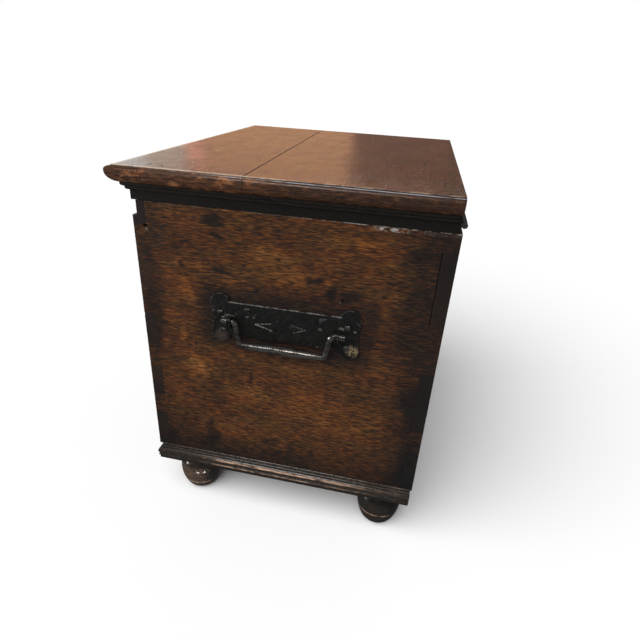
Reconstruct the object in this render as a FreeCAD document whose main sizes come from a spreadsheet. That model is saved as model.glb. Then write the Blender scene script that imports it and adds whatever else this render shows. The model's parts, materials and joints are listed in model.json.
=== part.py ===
"""A dovetailed oak bible box with a moulded lid and iron drop handles, on a low bun-footed stand.

The front faces -Y, the end with +X is the right-hand end, and Z points up. The origin lies on
the floor under the middle of the whole. Sizes are in millimetres.
"""

import FreeCAD, Part

import math
import os

import Sketcher
from FreeCAD import Placement, Rotation, Vector

# Sizes that can be set, each by itself

SIZES = {
    # the case
    "case_length": 500.0,
    "case_depth": 386.0,
    "case_height": 373.0,
    "front_thick": 17.0,
    "back_thick": 17.0,
    "end_thick": 17.0,
    "joint_fit": 0.1,
    "front_rebate_depth": 6.0,
    "front_rebate_height": 18.0,
    "bottom_thick": 10.0,
    "bottom_fit": 0.4,
    # the lid
    "lid_gap": 0.5,
    "strip_height": 20.8,
    "lid_board_thick": 20.1,
    "field_reach": 12.4,
    "nose_reach": 18.7,
    "nose_drop": 6.0,
    "quirk_depth": 1.6,
    "thumb_root_reach": 7.3,
    "fascia_height": 11.5,
    "fascia_inset": 0.2,
    "reed_root": 0.8,
    "reed_radius": 3.4,
    "lid_back_inset": 4.3,
    "board_joint_gap": 0.4,
    "board_joint_front": 145.6,
    "board_joint_slant": 16.0,
    # the stand
    "foot_height": 64.0,
    "rail_thick": 24.0,
    "rail_width": 60.0,
    "plinth_lip": 2.0,
    "plinth_reach": 8.0,
    "plinth_fit": 0.3,
    "stand_front_inset": 7.5,
    "stand_back_inset": 2.0,
    "foot_radius": 32.4,
    "foot_tenon_radius": 9.0,
    "foot_tenon_length": 20.0,
    "foot_inset_x": 30.0,
    "foot_inset_front": 45.7,
    "foot_inset_back": 41.7,
    "foot_fit": 0.15,
    # the handles
    "plate_length": 194.0,
    "plate_bar_height": 47.0,
    "plate_lobe_height": 69.0,
    "plate_lobe_radius": 14.0,
    "plate_lobe_width": 27.0,
    "plate_waist_radius": 90.0,
    "plate_thick": 3.0,
    "plate_up": 234.0,
    "eye_spacing": 138.0,
    "eye_thick": 5.0,
    "eye_wall": 3.2,
    "eye_shank": 4.6,
    "eye_tail_height": 30.0,
    "eye_tail_thick": 2.2,
    "bail_radius": 3.9,
    "bail_play": 0.4,
    "bail_drop": 32.0,
    "bail_stub": 14.0,
    "bail_grip_half": 56.0,
    "bail_grip_radius": 6.0,
    "bail_collar": 0.7,
    # the hinges
    "hinge_length": 66.0,
    "hinge_leaf_thick": 2.0,
    "hinge_leaf_width": 15.0,
    "hinge_from_end": 70.0,
    "knuckle_radius": 3.6,
    "hinge_pin_radius": 1.8,
    "hinge_pin_fit": 0.06,
    "knuckle_gap": 0.3,
    "knuckle_clear": 0.4,
    # the nails
    "nail_thick": 2.8,
    "nail_fit": 0.15,
    "nail_length": 13.0,
    "nail_head": 6.6,
    "nail_head_height": 1.6,
    "stand_nail_thick": 4.2,
    "stand_nail_head": 9.0,
    "stand_nail_length": 48.0,
    "stand_nail_inset": 12.2,
    # the lock
    "lock_length": 84.0,
    "lock_height": 70.0,
    "lock_deep": 18.0,
    "lock_wall": 2.0,
    "lock_below_rim": 3.0,
    "lock_guide_thick": 3.0,
    "lock_guide_height": 20.0,
    "bolt_height": 12.0,
    "bolt_thick": 5.0,
    "bolt_throw": 12.0,
    "bolt_fit": 0.3,
    "staple_thick": 4.0,
    "staple_width": 12.0,
    "staple_drop": 26.0,
    "staple_bar": 3.0,
    "staple_plate": 34.0,
    "staple_plate_thick": 2.0,
    "escutcheon_length": 52.0,
    "escutcheon_height": 56.0,
    "escutcheon_thick": 1.6,
    "keyhole_radius": 1.9,
    "keyhole_slot": 2.4,
    "keyhole_height": 11.0,
    "keyhole_drop": 35.5,
    # one overrun for every cut
    "overrun": 5.0,
}

# Shares of the case's height, from the bottom edge up, that each tail takes

FRONT_TAIL_SHARES = [(0.0, 0.166), (0.25, 0.377), (0.472, 0.6), (0.702, 0.8), (0.922, 1.0)]
BACK_TAIL_SHARES = [(0.0, 0.12), (0.276, 0.52), (0.693, 0.944)]
FLARE_SHARE = 0.16

# Shares of a handle plate's half length and bar height where its nails go, and of a hinge's length

PLATE_NAIL_SHARES = [(-0.87, 0.3), (-0.5, 0.62), (0.5, 0.62), (0.82, 0.42), (-0.84, -0.75), (0.84, -0.8)]
HINGE_NAIL_SHARES = [-0.36, 0.0, 0.36]
HINGE_LEAF_SHARE = 0.45
STAND_NAIL_SHARES = [-0.3, 0.3]
ESCUTCHEON_NAIL_SHARES = [(-0.36, 0.36), (0.36, 0.36), (0.0, -0.4)]

# Shares of a foot's radius and height from the tread up: (radius, height, radius of the arc that
# leads there)

FOOT_SHARES = [
    (0.48, 0.0, None),
    (0.72, 0.055, None),
    (1.0, 0.54, 1.775),
    (0.74, 0.87, 0.946),
    (0.6, 0.885, None),
    (0.6, 0.925, None),
    (0.72, 0.94, None),
    (0.72, 1.0, None),
]

# Shares of the plinth's reach and height: (out, up, radius as a share of the height), bottom first:
# a plain foot, a bead, a groove, a broad ovolo and two fine reeds

PLINTH_SHARES = [
    (0.76, 0.0, None),
    (0.76, 0.16, None),
    (0.8, 0.18, None),
    (0.8, 0.36, 0.115),
    (0.66, 0.4, None),
    (0.94, 0.42, None),
    (0.58, 0.74, 0.25),
    (0.5, 0.75, None),
    (0.3, 0.86, 0.085),
    (0.24, 0.87, None),
    (0.1, 1.0, 0.1),
]

# Shares of a bail's rod's radius: its bends, and how far inside the grip's corners it starts to swell

BEND_SHARE = 1.35
GRIP_START_SHARE = 1.8

# Shares of the lock's length where the guides of its bolt stand

LOCK_GUIDE_SHARES = [-0.1, 0.1, 0.26]

# Shares of a nail's head, of the keyhole's width and of the shield that goes round it

HEAD_TOP_SHARE = 0.4
KEYHOLE_SHARE = 0.6
SHIELD_SHARE = 0.2
SHIELD_ARC_SHARE = 1.6

doc = FreeCAD.newDocument("bible_box")
sheet = doc.addObject("Spreadsheet::Sheet", "Sizes")
for row, (name, value) in enumerate(SIZES.items(), start=1):
    sheet.set(f"A{row}", name)
    sheet.set(f"B{row}", str(value))
    sheet.setAlias(f"B{row}", name)
doc.recompute()


class Size:
    """A length with its value and with the expression on the sheet that it comes from."""

    def __init__(self, value, text):
        self.value = value
        self.text = text

    def __add__(self, other):
        other = sized(other)
        return Size(self.value + other.value, f"({self.text} + {other.text})")

    def __radd__(self, other):
        return sized(other) + self

    def __sub__(self, other):
        other = sized(other)
        return Size(self.value - other.value, f"({self.text} - {other.text})")

    def __rsub__(self, other):
        return sized(other) - self

    def __mul__(self, other):
        other = sized(other)
        return Size(self.value * other.value, f"({self.text} * {other.text})")

    def __rmul__(self, other):
        return sized(other) * self

    def __truediv__(self, other):
        other = sized(other)
        return Size(self.value / other.value, f"({self.text} / {other.text})")

    def __neg__(self):
        return Size(-self.value, f"(-1 * {self.text})")


def sized(number):
    """A plain factor as a Size, so that it can stand in a sum or a product."""
    return number if isinstance(number, Size) else Size(float(number), repr(float(number)))


class Named:
    """Gives each alias of the sheet as a Size: Named().case_length."""

    def __getattr__(self, alias):
        return Size(float(sheet.get(alias)), f"Sizes.{alias}")


of = Named()
zero = sized(0)


# Helpers that bind objects to the sheet

def bind(thing, **sizes):
    """Set properties of an object from Sizes, by expression."""
    for name, size in sizes.items():
        thing.setExpression(name, sized(size).text)


def place(thing, x=zero, y=zero, z=zero, rotation=None):
    """Put an object at a place given in Sizes."""
    thing.Placement = Placement(Vector(), rotation or Rotation())
    for name, size in (("x", x), ("y", y), ("z", z)):
        thing.setExpression(f"Placement.Base.{name}", sized(size).text)


nodes = []


def new_node(kind, name):
    """An object that is a piece of its own. Its label is the name of its file."""
    thing = doc.addObject(kind, name)
    thing.Label = name
    nodes.append(thing)
    return thing


def new_body(name):
    return new_node("PartDesign::Body", name)


def sketch_on(body, plane, name, offset=None):
    """A sketch on one of the body's own origin planes, moved along the plane's normal by offset."""
    sketch = body.newObject("Sketcher::SketchObject", f"{body.Name}_{name}")
    origin_plane = [each for each in body.Origin.OriginFeatures if each.Role == plane][0]
    sketch.AttachmentSupport = [(origin_plane, "")]
    sketch.MapMode = "FlatFace"
    if offset is not None:
        sketch.setExpression("AttachmentOffset.Base.z", offset.text)
    return sketch


def fix_point(sketch, geometry, end, point):
    """Hold one end of a line or an arc at a point given in Sizes."""
    for kind, size in zip(("DistanceX", "DistanceY"), point):
        size = sized(size)
        index = sketch.addConstraint(Sketcher.Constraint(kind, geometry, end, size.value))
        sketch.setExpression(f"Constraints[{index}]", size.text)


def arc_between(start, end, radius, left):
    """The arc of under half a circle from start to end, which turns left or right as it goes."""
    run = end - start
    middle = (start + end) * 0.5
    height = math.sqrt(max(radius**2 - (run.Length / 2) ** 2, 0))
    across = Vector(-run.y, run.x, 0).normalize()
    centre = middle + across * (height if left else -height)
    first, last = (start, end) if left else (end, start)
    angles = [math.atan2(each.y - centre.y, each.x - centre.x) for each in (first, last)]
    return Part.ArcOfCircle(Part.Circle(centre, Vector(0, 0, 1), radius), *angles)


def outline(sketch, steps, closed=True):
    """A run of lines and arcs. A step is a point, or a point with the radius of the arc to it.

    A positive radius turns left on the way to the point, a negative one turns right. The first
    step of a closed run leads on from its last, and that of an open one is only where it starts.
    """
    points = [Vector(sized(step[0]).value, sized(step[1]).value, 0) for step in steps]
    runs = []
    for index, step in enumerate(steps):
        if index == 0 and not closed:
            continue
        start = points[index - 1]
        end = points[index]
        if len(step) == 2:
            edge = sketch.addGeometry(Part.LineSegment(start, end), False)
            runs.append((edge, 1, 2))
            fix_point(sketch, edge, 2, step)
            continue
        radius = sized(step[2])
        left = radius.value > 0
        edge = sketch.addGeometry(arc_between(start, end, abs(radius.value), left), False)
        runs.append((edge, 1, 2) if left else (edge, 2, 1))
        fix_point(sketch, edge, 2 if left else 1, step[:2])
        held = sketch.addConstraint(Sketcher.Constraint("Radius", edge, abs(radius.value)))
        sketch.setExpression(f"Constraints[{held}]", radius.text if left else (-radius).text)
    if closed:
        runs.append(runs[0])
    else:
        fix_point(sketch, runs[0][0], runs[0][1], steps[0])
    for before, after in zip(runs, runs[1:]):
        sketch.addConstraint(Sketcher.Constraint("Coincident", before[0], before[2], after[0], after[1]))


def rounded(corners, bend):
    """The steps of an open run through corners, with a tangent arc of radius bend at each inner one."""
    steps = [corners[0]]
    for before, corner, after in zip(corners, corners[1:], corners[2:]):
        x, y = corner
        ways = [Vector((far[0] - x).value, (far[1] - y).value, 0).normalize() for far in (before, after)]
        back = bend / math.tan(math.acos(ways[0] * ways[1]) / 2)
        turn = 1 if ways[0].cross(ways[1]).z < 0 else -1
        steps.append((x + back * ways[0].x, y + back * ways[0].y))
        steps.append((x + back * ways[1].x, y + back * ways[1].y, bend * turn))
    return steps + [corners[-1]]


def rectangle(sketch, x0, y0, x1, y1):
    """A rectangle between two corners."""
    outline(sketch, [(x0, y0), (x1, y0), (x1, y1), (x0, y1)])


def circle(sketch, x, y, radius):
    """A circle held by its centre and radius."""
    centre = Vector(sized(x).value, sized(y).value, 0)
    edge = sketch.addGeometry(Part.Circle(centre, Vector(0, 0, 1), radius.value), False)
    fix_point(sketch, edge, 3, (x, y))
    held = sketch.addConstraint(Sketcher.Constraint("Radius", edge, radius.value))
    sketch.setExpression(f"Constraints[{held}]", radius.text)


def square(sketch, x, y, width):
    """A square round a point, for a forged nail or a shank."""
    half = width / 2
    rectangle(sketch, x - half, y - half, x + half, y + half)


def keyhole(sketch, level):
    """A keyhole: a wide top above a slot."""
    half = of.keyhole_slot / 2
    wide = of.keyhole_radius
    bottom = level + wide - of.keyhole_height
    outline(sketch, [
        (-half, bottom), (half, bottom), (half, level - wide * KEYHOLE_SHARE),
        (wide, level), (wide * KEYHOLE_SHARE, level + wide),
        (-wide * KEYHOLE_SHARE, level + wide), (-wide, level), (-half, level - wide * KEYHOLE_SHARE),
    ])


def feature(body, kind, sketch, name, length=None, reverse=False, middle=False):
    """A pad or a pocket from a sketch. Without a length, a pocket goes right through."""
    before = body.Shape.Volume if body.Tip else 0.0
    made = body.newObject(f"PartDesign::{kind}", f"{body.Name}_{name}")
    made.Profile = sketch
    made.Reversed = reverse
    made.Midplane = middle
    if length is None:
        made.Type = "ThroughAll"
    else:
        made.setExpression("Length", sized(length).text)
    doc.recompute()
    change = body.Shape.Volume - before
    if (change if kind == "Pad" else -change) <= 0:
        raise RuntimeError(f"{made.Name} changed the volume by {change}")
    return made


def pad(body, sketch, name, length, reverse=False, middle=False):
    return feature(body, "Pad", sketch, name, length, reverse, middle)


def pocket(body, sketch, name, length=None, reverse=False, middle=False):
    return feature(body, "Pocket", sketch, name, length, reverse, middle)


# Places that several pieces share

half_length = of.case_length / 2
half_depth = of.case_depth / 2
stand_height = of.foot_height + of.rail_thick
stand_front = -half_depth + of.stand_front_inset
stand_back = half_depth - of.stand_back_inset
stand_nail_out = half_depth - of.stand_nail_inset
front_reach = half_depth + of.nose_reach
hinge_axis_out = of.knuckle_clear + of.knuckle_radius
back_reach = half_depth + hinge_axis_out + of.knuckle_radius
case_y = (front_reach - back_reach) / 2
lid_z = stand_height + of.case_height + of.lid_gap
eye_ring_radius = of.bail_radius + of.bail_play + of.eye_wall
eye_out = of.plate_thick + eye_ring_radius
eye_hole_radius = of.bail_radius + of.bail_play
shank_hole = of.eye_shank + of.nail_fit * 2
nail_hole = of.nail_thick + of.nail_fit * 2
stand_nail_hole = of.stand_nail_thick + of.nail_fit * 2
lid_back = half_depth - of.lid_back_inset
hinge_x = half_length - of.hinge_from_end
hinge_axis_y = half_depth + hinge_axis_out
hinge_axis_z = of.case_height + of.lid_gap / 2
leaf_front = half_depth - of.hinge_leaf_width
front_inner = -half_depth + of.front_thick
staple_y = front_inner + of.lock_deep / 2
lock_top = of.case_height - of.lock_below_rim
lock_base = lock_top - of.lock_height
bolt_z = of.case_height + of.lid_gap - of.staple_drop / 2
bolt_start = of.staple_thick / 2 + of.bolt_fit * 4
keyhole_z = bolt_z - of.keyhole_drop


def plate_nail_places():
    """Where the nails go in a handle plate, from its middle, along Y and Z."""
    for along, up in PLATE_NAIL_SHARES:
        yield of.plate_length / 2 * along, of.plate_bar_height / 2 * up


def eye_places():
    """Where the two eyes of a handle stand, along Y, with their names."""
    return [("front", -of.eye_spacing / 2), ("back", of.eye_spacing / 2)]


# The case

def tails(shares, height, fit):
    """The tails of a corner, grown by fit where wood meets wood: bottom, top, and whether there is
    wood below and above."""
    for low, high in shares:
        bottom = height * low - (fit if low > 0 else 0)
        top = height * high + (fit if high < 1 else 0)
        yield bottom, top, low > 0, high < 1


def tail_board_outline(shares):
    """A tail board seen from the front: a rectangle with a row of tails at each end."""
    height = of.case_height
    tip = half_length
    shoulder = half_length - of.end_thick - of.joint_fit
    flare = (of.end_thick + of.joint_fit) * FLARE_SHARE
    right = []
    for bottom, top, open_below, open_above in tails(shares, height, -of.joint_fit):
        if open_below:
            right += [(shoulder, bottom + flare)]
        right += [(tip, bottom), (tip, top)]
        if open_above:
            right += [(shoulder, top - flare)]
    if shares[-1][1] < 1:
        right += [(shoulder, height)]
    return right + [(-x, z) for x, z in reversed(right)]


def tail_board(name, shares, thick, outer_y):
    """The front or back board, whose outer face lies at outer_y."""
    body = new_body(name)
    sketch = sketch_on(body, "XZ_Plane", "outline")
    outline(sketch, tail_board_outline(shares))
    front = outer_y.value < 0
    pad(body, sketch, "board", thick, reverse=front)
    nails = sketch_on(body, "XY_Plane", "stand_nails")
    for x in stand_nail_places():
        square(nails, x, of.stand_nail_inset * (1 if front else -1), stand_nail_hole)
    depth = of.stand_nail_length - of.rail_thick + of.nail_fit
    pocket(body, nails, "stand_nail_holes", depth, reverse=True)
    place(body, zero, case_y + outer_y, stand_height)
    return body


def make_front_board():
    body = tail_board("front_board", FRONT_TAIL_SHARES, of.front_thick, -half_depth)
    rebate = sketch_on(body, "YZ_Plane", "rebate")
    rectangle(
        rebate,
        -of.overrun, of.case_height - of.front_rebate_height,
        of.front_rebate_depth, of.case_height + of.overrun,
    )
    pocket(body, rebate, "rebate_cut", middle=True)
    hole = sketch_on(body, "XZ_Plane", "keyhole")
    keyhole(hole, keyhole_z)
    pocket(body, hole, "keyhole_cut", middle=True)
    nails = sketch_on(body, "XZ_Plane", "nails")
    for x, z in escutcheon_nail_places():
        square(nails, x, z, nail_hole)
    pocket(body, nails, "nail_holes", of.nail_length, reverse=False)


def make_back_board():
    body = tail_board("back_board", BACK_TAIL_SHARES, of.back_thick, half_depth)
    for side, name in ((1, "right"), (-1, "left")):
        seat = sketch_on(body, "XY_Plane", f"{name}_seat", of.case_height)
        half = of.hinge_length / 2 + of.joint_fit
        rectangle(
            seat,
            hinge_x * side - half, -of.hinge_leaf_width - of.joint_fit,
            hinge_x * side + half, of.overrun,
        )
        pocket(body, seat, f"{name}_seat_cut", of.hinge_leaf_thick)
        nails = sketch_on(body, "XY_Plane", f"{name}_nails", of.case_height - of.hinge_leaf_thick)
        for x, y in hinge_nail_places(side):
            square(nails, x, y - half_depth, nail_hole)
        pocket(body, nails, f"{name}_nail_holes", of.nail_length)


def make_end_board(name, side):
    """An end board: the sockets between its pins are the tails' shapes, grown by the joint's fit."""
    body = new_body(name)
    face = sketch_on(body, "YZ_Plane", "face")
    rectangle(face, -half_depth, zero, half_depth, of.case_height)
    pad(body, face, "board", of.end_thick, reverse=side > 0)
    corners = (
        ("front", FRONT_TAIL_SHARES, half_depth, of.front_thick + of.joint_fit, False),
        ("back", BACK_TAIL_SHARES, -half_depth, of.back_thick + of.joint_fit, True),
    )
    for corner, shares, offset, depth, reverse in corners:
        flare = of.end_thick * FLARE_SHARE
        for index, (bottom, top, open_below, open_above) in enumerate(tails(shares, of.case_height, zero)):
            socket = sketch_on(body, "XZ_Plane", f"{corner}_socket_{index}", offset)
            low = bottom + (flare if open_below else -of.overrun)
            high = top - (flare if open_above else -of.overrun)
            tip_low = bottom if open_below else bottom - of.overrun
            tip_high = top if open_above else top + of.overrun
            inner = -of.end_thick * side
            spill = of.overrun * side
            spread = of.overrun * FLARE_SHARE
            outline(socket, [
                (inner - spill, low + spread if open_below else low),
                (spill, tip_low - spread if open_below else tip_low),
                (spill, tip_high + spread if open_above else tip_high),
                (inner - spill, high - spread if open_above else high),
            ])
            pocket(body, socket, f"{corner}_socket_cut_{index}", depth, reverse)
    holes = sketch_on(body, "YZ_Plane", "eye_holes")
    for _, y in eye_places():
        square(holes, y, of.plate_up, shank_hole)
    pocket(body, holes, "eye_hole_cut", reverse=side < 0)
    nails = sketch_on(body, "YZ_Plane", "nails")
    for y, z in plate_nail_places():
        square(nails, y, of.plate_up + z, nail_hole)
    pocket(body, nails, "nail_holes", of.nail_length - of.plate_thick + of.nail_fit, reverse=side < 0)
    place(body, half_length * side, case_y, stand_height)


def make_bottom_boards():
    """Two boards that lie between the four sides, on the stand's frame."""
    inner_x = half_length - of.end_thick - of.bottom_fit
    front = -half_depth + of.front_thick + of.bottom_fit
    back = half_depth - of.back_thick - of.bottom_fit
    seam = of.board_joint_gap / 2
    for name, low, high in (("bottom_board_front", front, -seam), ("bottom_board_back", seam, back)):
        board = new_node("Part::Box", name)
        bind(board, Length=inner_x * 2, Width=high - low, Height=of.bottom_thick)
        place(board, -inner_x, case_y + low, stand_height)


# The lid

def thumb_outside(mirror, level, edge):
    """The waste outside the thumb-moulded edge of a lid board, drawn from the case's face out."""
    nose_in = of.nose_reach - of.field_reach
    nose_down = of.nose_drop - of.quirk_depth
    upper = (nose_in * nose_in + nose_down * nose_down) / (nose_in * 2)
    under_in = of.nose_reach - of.thumb_root_reach
    under_down = of.lid_board_thick - of.nose_drop
    lower = (under_in * under_in + under_down * under_down) / (under_in * 2)
    top = level + of.lid_board_thick
    far = edge + of.nose_reach + of.overrun * 2
    turn = -1 if mirror > 0 else 1
    return [
        ((edge + of.field_reach) * mirror, top + of.overrun),
        ((edge + of.field_reach) * mirror, top - of.quirk_depth),
        ((edge + of.nose_reach) * mirror, top - of.nose_drop, upper * turn),
        ((edge + of.thumb_root_reach) * mirror, level, lower * turn),
        ((edge + of.thumb_root_reach) * mirror, level - of.overrun),
        (far * mirror, level - of.overrun),
        (far * mirror, top + of.overrun),
    ]


def make_lid_board(name, front):
    """One board of the lid. The seam between the two runs out of square, as in the old boards."""
    body = new_body(name)
    reach = half_length + of.nose_reach + of.overrun
    seam_right = -half_depth + of.board_joint_front
    seam_left = seam_right - of.board_joint_slant
    slope = (seam_right - seam_left) / of.case_length
    over = (reach - half_length) * slope
    gap = of.board_joint_gap / 2
    plan = sketch_on(body, "XY_Plane", "plan", of.strip_height)
    if front:
        front_edge = -half_depth - of.nose_reach - of.overrun
        outline(plan, [
            (-reach, front_edge), (reach, front_edge),
            (reach, seam_right + over - gap), (-reach, seam_left - over - gap),
        ])
    else:
        outline(plan, [
            (-reach, seam_left - over + gap), (reach, seam_right + over + gap),
            (reach, lid_back), (-reach, lid_back),
        ])
    pad(body, plan, "board", of.lid_board_thick)
    for side, end in ((1, "right"), (-1, "left")):
        waste = sketch_on(body, "XZ_Plane", f"{end}_edge")
        outline(waste, thumb_outside(side, of.strip_height, half_length))
        pocket(body, waste, f"{end}_edge_cut", middle=True)
    if front:
        waste = sketch_on(body, "YZ_Plane", "front_edge")
        outline(waste, thumb_outside(-1, of.strip_height, half_depth))
        pocket(body, waste, "front_edge_cut", middle=True)
    place(body, zero, case_y, lid_z)


def strip_profile(mirror, edge, inner):
    """The reeded strip under the lid's edge: a plain fascia below, two stepped reeds above."""
    root = edge + of.reed_root
    top_out = edge + of.thumb_root_reach
    step = (top_out - root - of.reed_root) / 2
    rise = (of.strip_height - of.fascia_height) / 2
    turn = of.reed_radius * mirror
    return [
        ((edge - inner) * mirror, zero),
        ((edge - of.fascia_inset) * mirror, zero),
        ((edge - of.fascia_inset) * mirror, of.fascia_height),
        (root * mirror, of.fascia_height),
        ((root + step) * mirror, of.fascia_height + rise, turn),
        ((root + step + of.reed_root) * mirror, of.fascia_height + rise),
        (top_out * mirror, of.strip_height, turn),
        ((edge - inner) * mirror, of.strip_height),
    ]


def make_lid_strips():
    """The front strip and the two end strips, mitred at the front corners."""
    corner = of.thumb_root_reach + of.overrun
    body = new_body("lid_front_moulding")
    profile = sketch_on(body, "YZ_Plane", "profile")
    outline(profile, strip_profile(-1, half_depth, of.front_thick))
    pad(body, profile, "strip", (half_length + corner) * 2, middle=True)
    for side, end in ((1, "right"), (-1, "left")):
        mitre_waste(body, side, end, corner, of.front_thick, -half_depth, cut_end=True)
    staple_seat(body)
    place(body, zero, case_y, lid_z)
    for side, end in ((1, "right"), (-1, "left")):
        body = new_body(f"lid_{end}_moulding")
        front = -half_depth - corner
        profile = sketch_on(body, "XZ_Plane", "profile", -lid_back)
        outline(profile, strip_profile(side, half_length, of.end_thick))
        pad(body, profile, "strip", lid_back - front)
        mitre_waste(body, side, end, corner, of.end_thick, -half_depth, cut_end=False)
        place(body, zero, case_y, lid_z)


def mitre_waste(body, side, end, corner, inner, front, cut_end):
    """Cut a strip at 45 degrees through a front corner, a joint's fit clear of its mate."""
    fit = of.joint_fit / 2
    outer = corner + of.overrun
    back = inner + of.overrun * 2
    cx = half_length
    plan = sketch_on(body, "XY_Plane", f"{end}_mitre")
    if cut_end:
        points = [
            (cx + outer - fit, front - outer),
            (cx + outer * 2, front - outer),
            (cx + outer * 2, front + back),
            (cx - back - fit, front + back),
        ]
    else:
        points = [
            (cx + outer + fit, front - outer),
            (cx - back + fit, front + back),
            (cx - back * 2, front + back),
            (cx - back * 2, front - outer),
        ]
    outline(plan, [(x * side, y) for x, y in points])
    pocket(body, plan, f"{end}_mitre_cut", middle=True)


def make_lid_back_rail():
    """The plain rail under the lid's back edge, with a seat for each hinge leaf."""
    body = new_body("lid_back_rail")
    inner_x = half_length - of.end_thick - of.joint_fit
    plan = sketch_on(body, "XY_Plane", "plan")
    front = half_depth - of.back_thick
    rectangle(plan, -inner_x, front, inner_x, lid_back)
    pad(body, plan, "rail", of.strip_height)
    for side, name in ((1, "right"), (-1, "left")):
        seat = sketch_on(body, "XY_Plane", f"{name}_seat")
        half = of.hinge_length / 2 + of.joint_fit
        rectangle(
            seat,
            hinge_x * side - half, leaf_front - of.joint_fit,
            hinge_x * side + half, lid_back + of.overrun,
        )
        pocket(body, seat, f"{name}_seat_cut", of.hinge_leaf_thick, reverse=True)
        nails = sketch_on(body, "XY_Plane", f"{name}_nails")
        for x, y in hinge_nail_places(side):
            square(nails, x, y, nail_hole)
        pocket(body, nails, f"{name}_nail_holes", of.nail_length + of.hinge_leaf_thick, reverse=True)
    place(body, zero, case_y, lid_z)


# The stand

def foot_places():
    """Where the four feet stand, along X and Y, with their names."""
    for name, side in (("right", 1), ("left", -1)):
        x = (half_length - of.foot_inset_x) * side
        yield f"front_{name}_foot", x, stand_front + of.foot_inset_front
        yield f"back_{name}_foot", x, stand_back - of.foot_inset_back


def foot_holes(body):
    """A sketch of the holes for the feet's tenons that fall in one rail."""
    holes = sketch_on(body, "XY_Plane", "foot_holes")
    within = body.Shape.BoundBox
    for _, x, y in foot_places():
        if within.isInside(Vector(x.value, y.value, within.Center.z)):
            circle(holes, x, y, of.foot_tenon_radius + of.foot_fit)
    return holes


def make_stand_rails():
    """Four flat rails, half-lapped at the corners. Each lap is pinned by the tenon of a foot."""
    lap = of.rail_width
    half_thick = of.rail_thick / 2
    edges = (("front", -1, stand_front), ("back", 1, stand_back))
    for name, sign, edge in edges:
        body = new_body(f"stand_{name}_rail")
        plan = sketch_on(body, "XY_Plane", "plan")
        rectangle(plan, -half_length, edge, half_length, edge - lap * sign)
        pad(body, plan, "rail", of.rail_thick)
        holes = foot_holes(body)
        laps = sketch_on(body, "XY_Plane", "laps", half_thick)
        for side in (1, -1):
            rectangle(
                laps,
                (half_length + of.overrun) * side, edge + of.overrun * sign,
                (half_length - lap - of.joint_fit) * side, edge - (lap + of.overrun) * sign,
            )
        pocket(body, laps, "lap_cut", half_thick + of.overrun, reverse=True)
        pocket(body, holes, "foot_hole_cut", reverse=True)
        nails = sketch_on(body, "XY_Plane", "nails")
        for x in stand_nail_places():
            square(nails, x, stand_nail_out * sign, stand_nail_hole)
        pocket(body, nails, "nail_holes", reverse=True)
        place(body, zero, case_y, of.foot_height)
    for name, side in (("right", 1), ("left", -1)):
        body = new_body(f"stand_{name}_rail")
        plan = sketch_on(body, "XY_Plane", "plan")
        rectangle(plan, half_length * side, stand_front, (half_length - lap) * side, stand_back)
        pad(body, plan, "rail", of.rail_thick)
        holes = foot_holes(body)
        laps = sketch_on(body, "XY_Plane", "laps", half_thick + of.joint_fit)
        for _, sign, edge in edges:
            rectangle(
                laps,
                (half_length + of.overrun) * side, edge + of.overrun * sign,
                (half_length - lap - of.overrun) * side, edge - (lap + of.joint_fit) * sign,
            )
        pocket(body, laps, "lap_cut", half_thick + of.overrun)
        pocket(body, holes, "foot_hole_cut", of.foot_tenon_length + of.foot_fit, reverse=True)
        place(body, zero, case_y, of.foot_height)


def plinth_profile(mirror, edge):
    """The plinth's moulding. Its upper lip stands a little above the case's lower edge."""
    lip = of.rail_thick + of.plinth_lip
    inner = edge + of.plinth_fit
    steps = [(inner * mirror, zero)]
    for out, up, radius in PLINTH_SHARES:
        point = ((edge + of.plinth_reach * out) * mirror, lip * up)
        steps.append(point if radius is None else (*point, lip * radius * mirror))
    return steps + [(inner * mirror, lip)]


def make_plinth_mouldings():
    """Three mitred mouldings. The front one is planed flush with the frame, under the case's edge."""
    corner = of.plinth_reach + of.overrun
    body = new_body("stand_front_moulding")
    profile = sketch_on(body, "YZ_Plane", "profile")
    outline(profile, plinth_profile(-1, -stand_front))
    pad(body, profile, "strip", (half_length + corner) * 2, middle=True)
    for side, end in ((1, "right"), (-1, "left")):
        mitre_waste(body, side, end, corner, of.plinth_reach, stand_front, cut_end=True)
    lip = sketch_on(body, "XY_Plane", "lip", of.rail_thick)
    rectangle(lip, -half_length - corner, stand_front - corner, half_length + corner, stand_front)
    pocket(body, lip, "lip_cut", of.plinth_lip + of.overrun, reverse=True)
    place(body, zero, case_y, of.foot_height)
    for side, end in ((1, "right"), (-1, "left")):
        body = new_body(f"stand_{end}_moulding")
        profile = sketch_on(body, "XZ_Plane", "profile", -stand_back)
        outline(profile, plinth_profile(side, half_length))
        pad(body, profile, "strip", stand_back - stand_front + corner)
        mitre_waste(body, side, end, corner, of.plinth_reach, stand_front, cut_end=False)
        place(body, zero, case_y, of.foot_height)


def make_foot(name, x, y):
    """A turned bun foot: a flat tread, a full bun, a neck, a collar and a tenon."""
    body = new_body(name)
    half = sketch_on(body, "XZ_Plane", "outline")
    tall = of.foot_height
    wide = of.foot_radius
    steps = [(zero, zero)]
    for out, up, radius in FOOT_SHARES:
        point = (wide * out, tall * up)
        steps.append(point if radius is None else (*point, wide * radius))
    outline(half, steps + [
        (of.foot_tenon_radius, tall),
        (of.foot_tenon_radius, tall + of.foot_tenon_length),
        (zero, tall + of.foot_tenon_length),
    ])
    turned = body.newObject("PartDesign::Revolution", f"{name}_turning")
    turned.Profile = half
    turned.ReferenceAxis = (half, ["V_Axis"])
    turned.Angle = 360
    doc.recompute()
    place(body, x, case_y + y, zero)


# The handles

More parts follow.
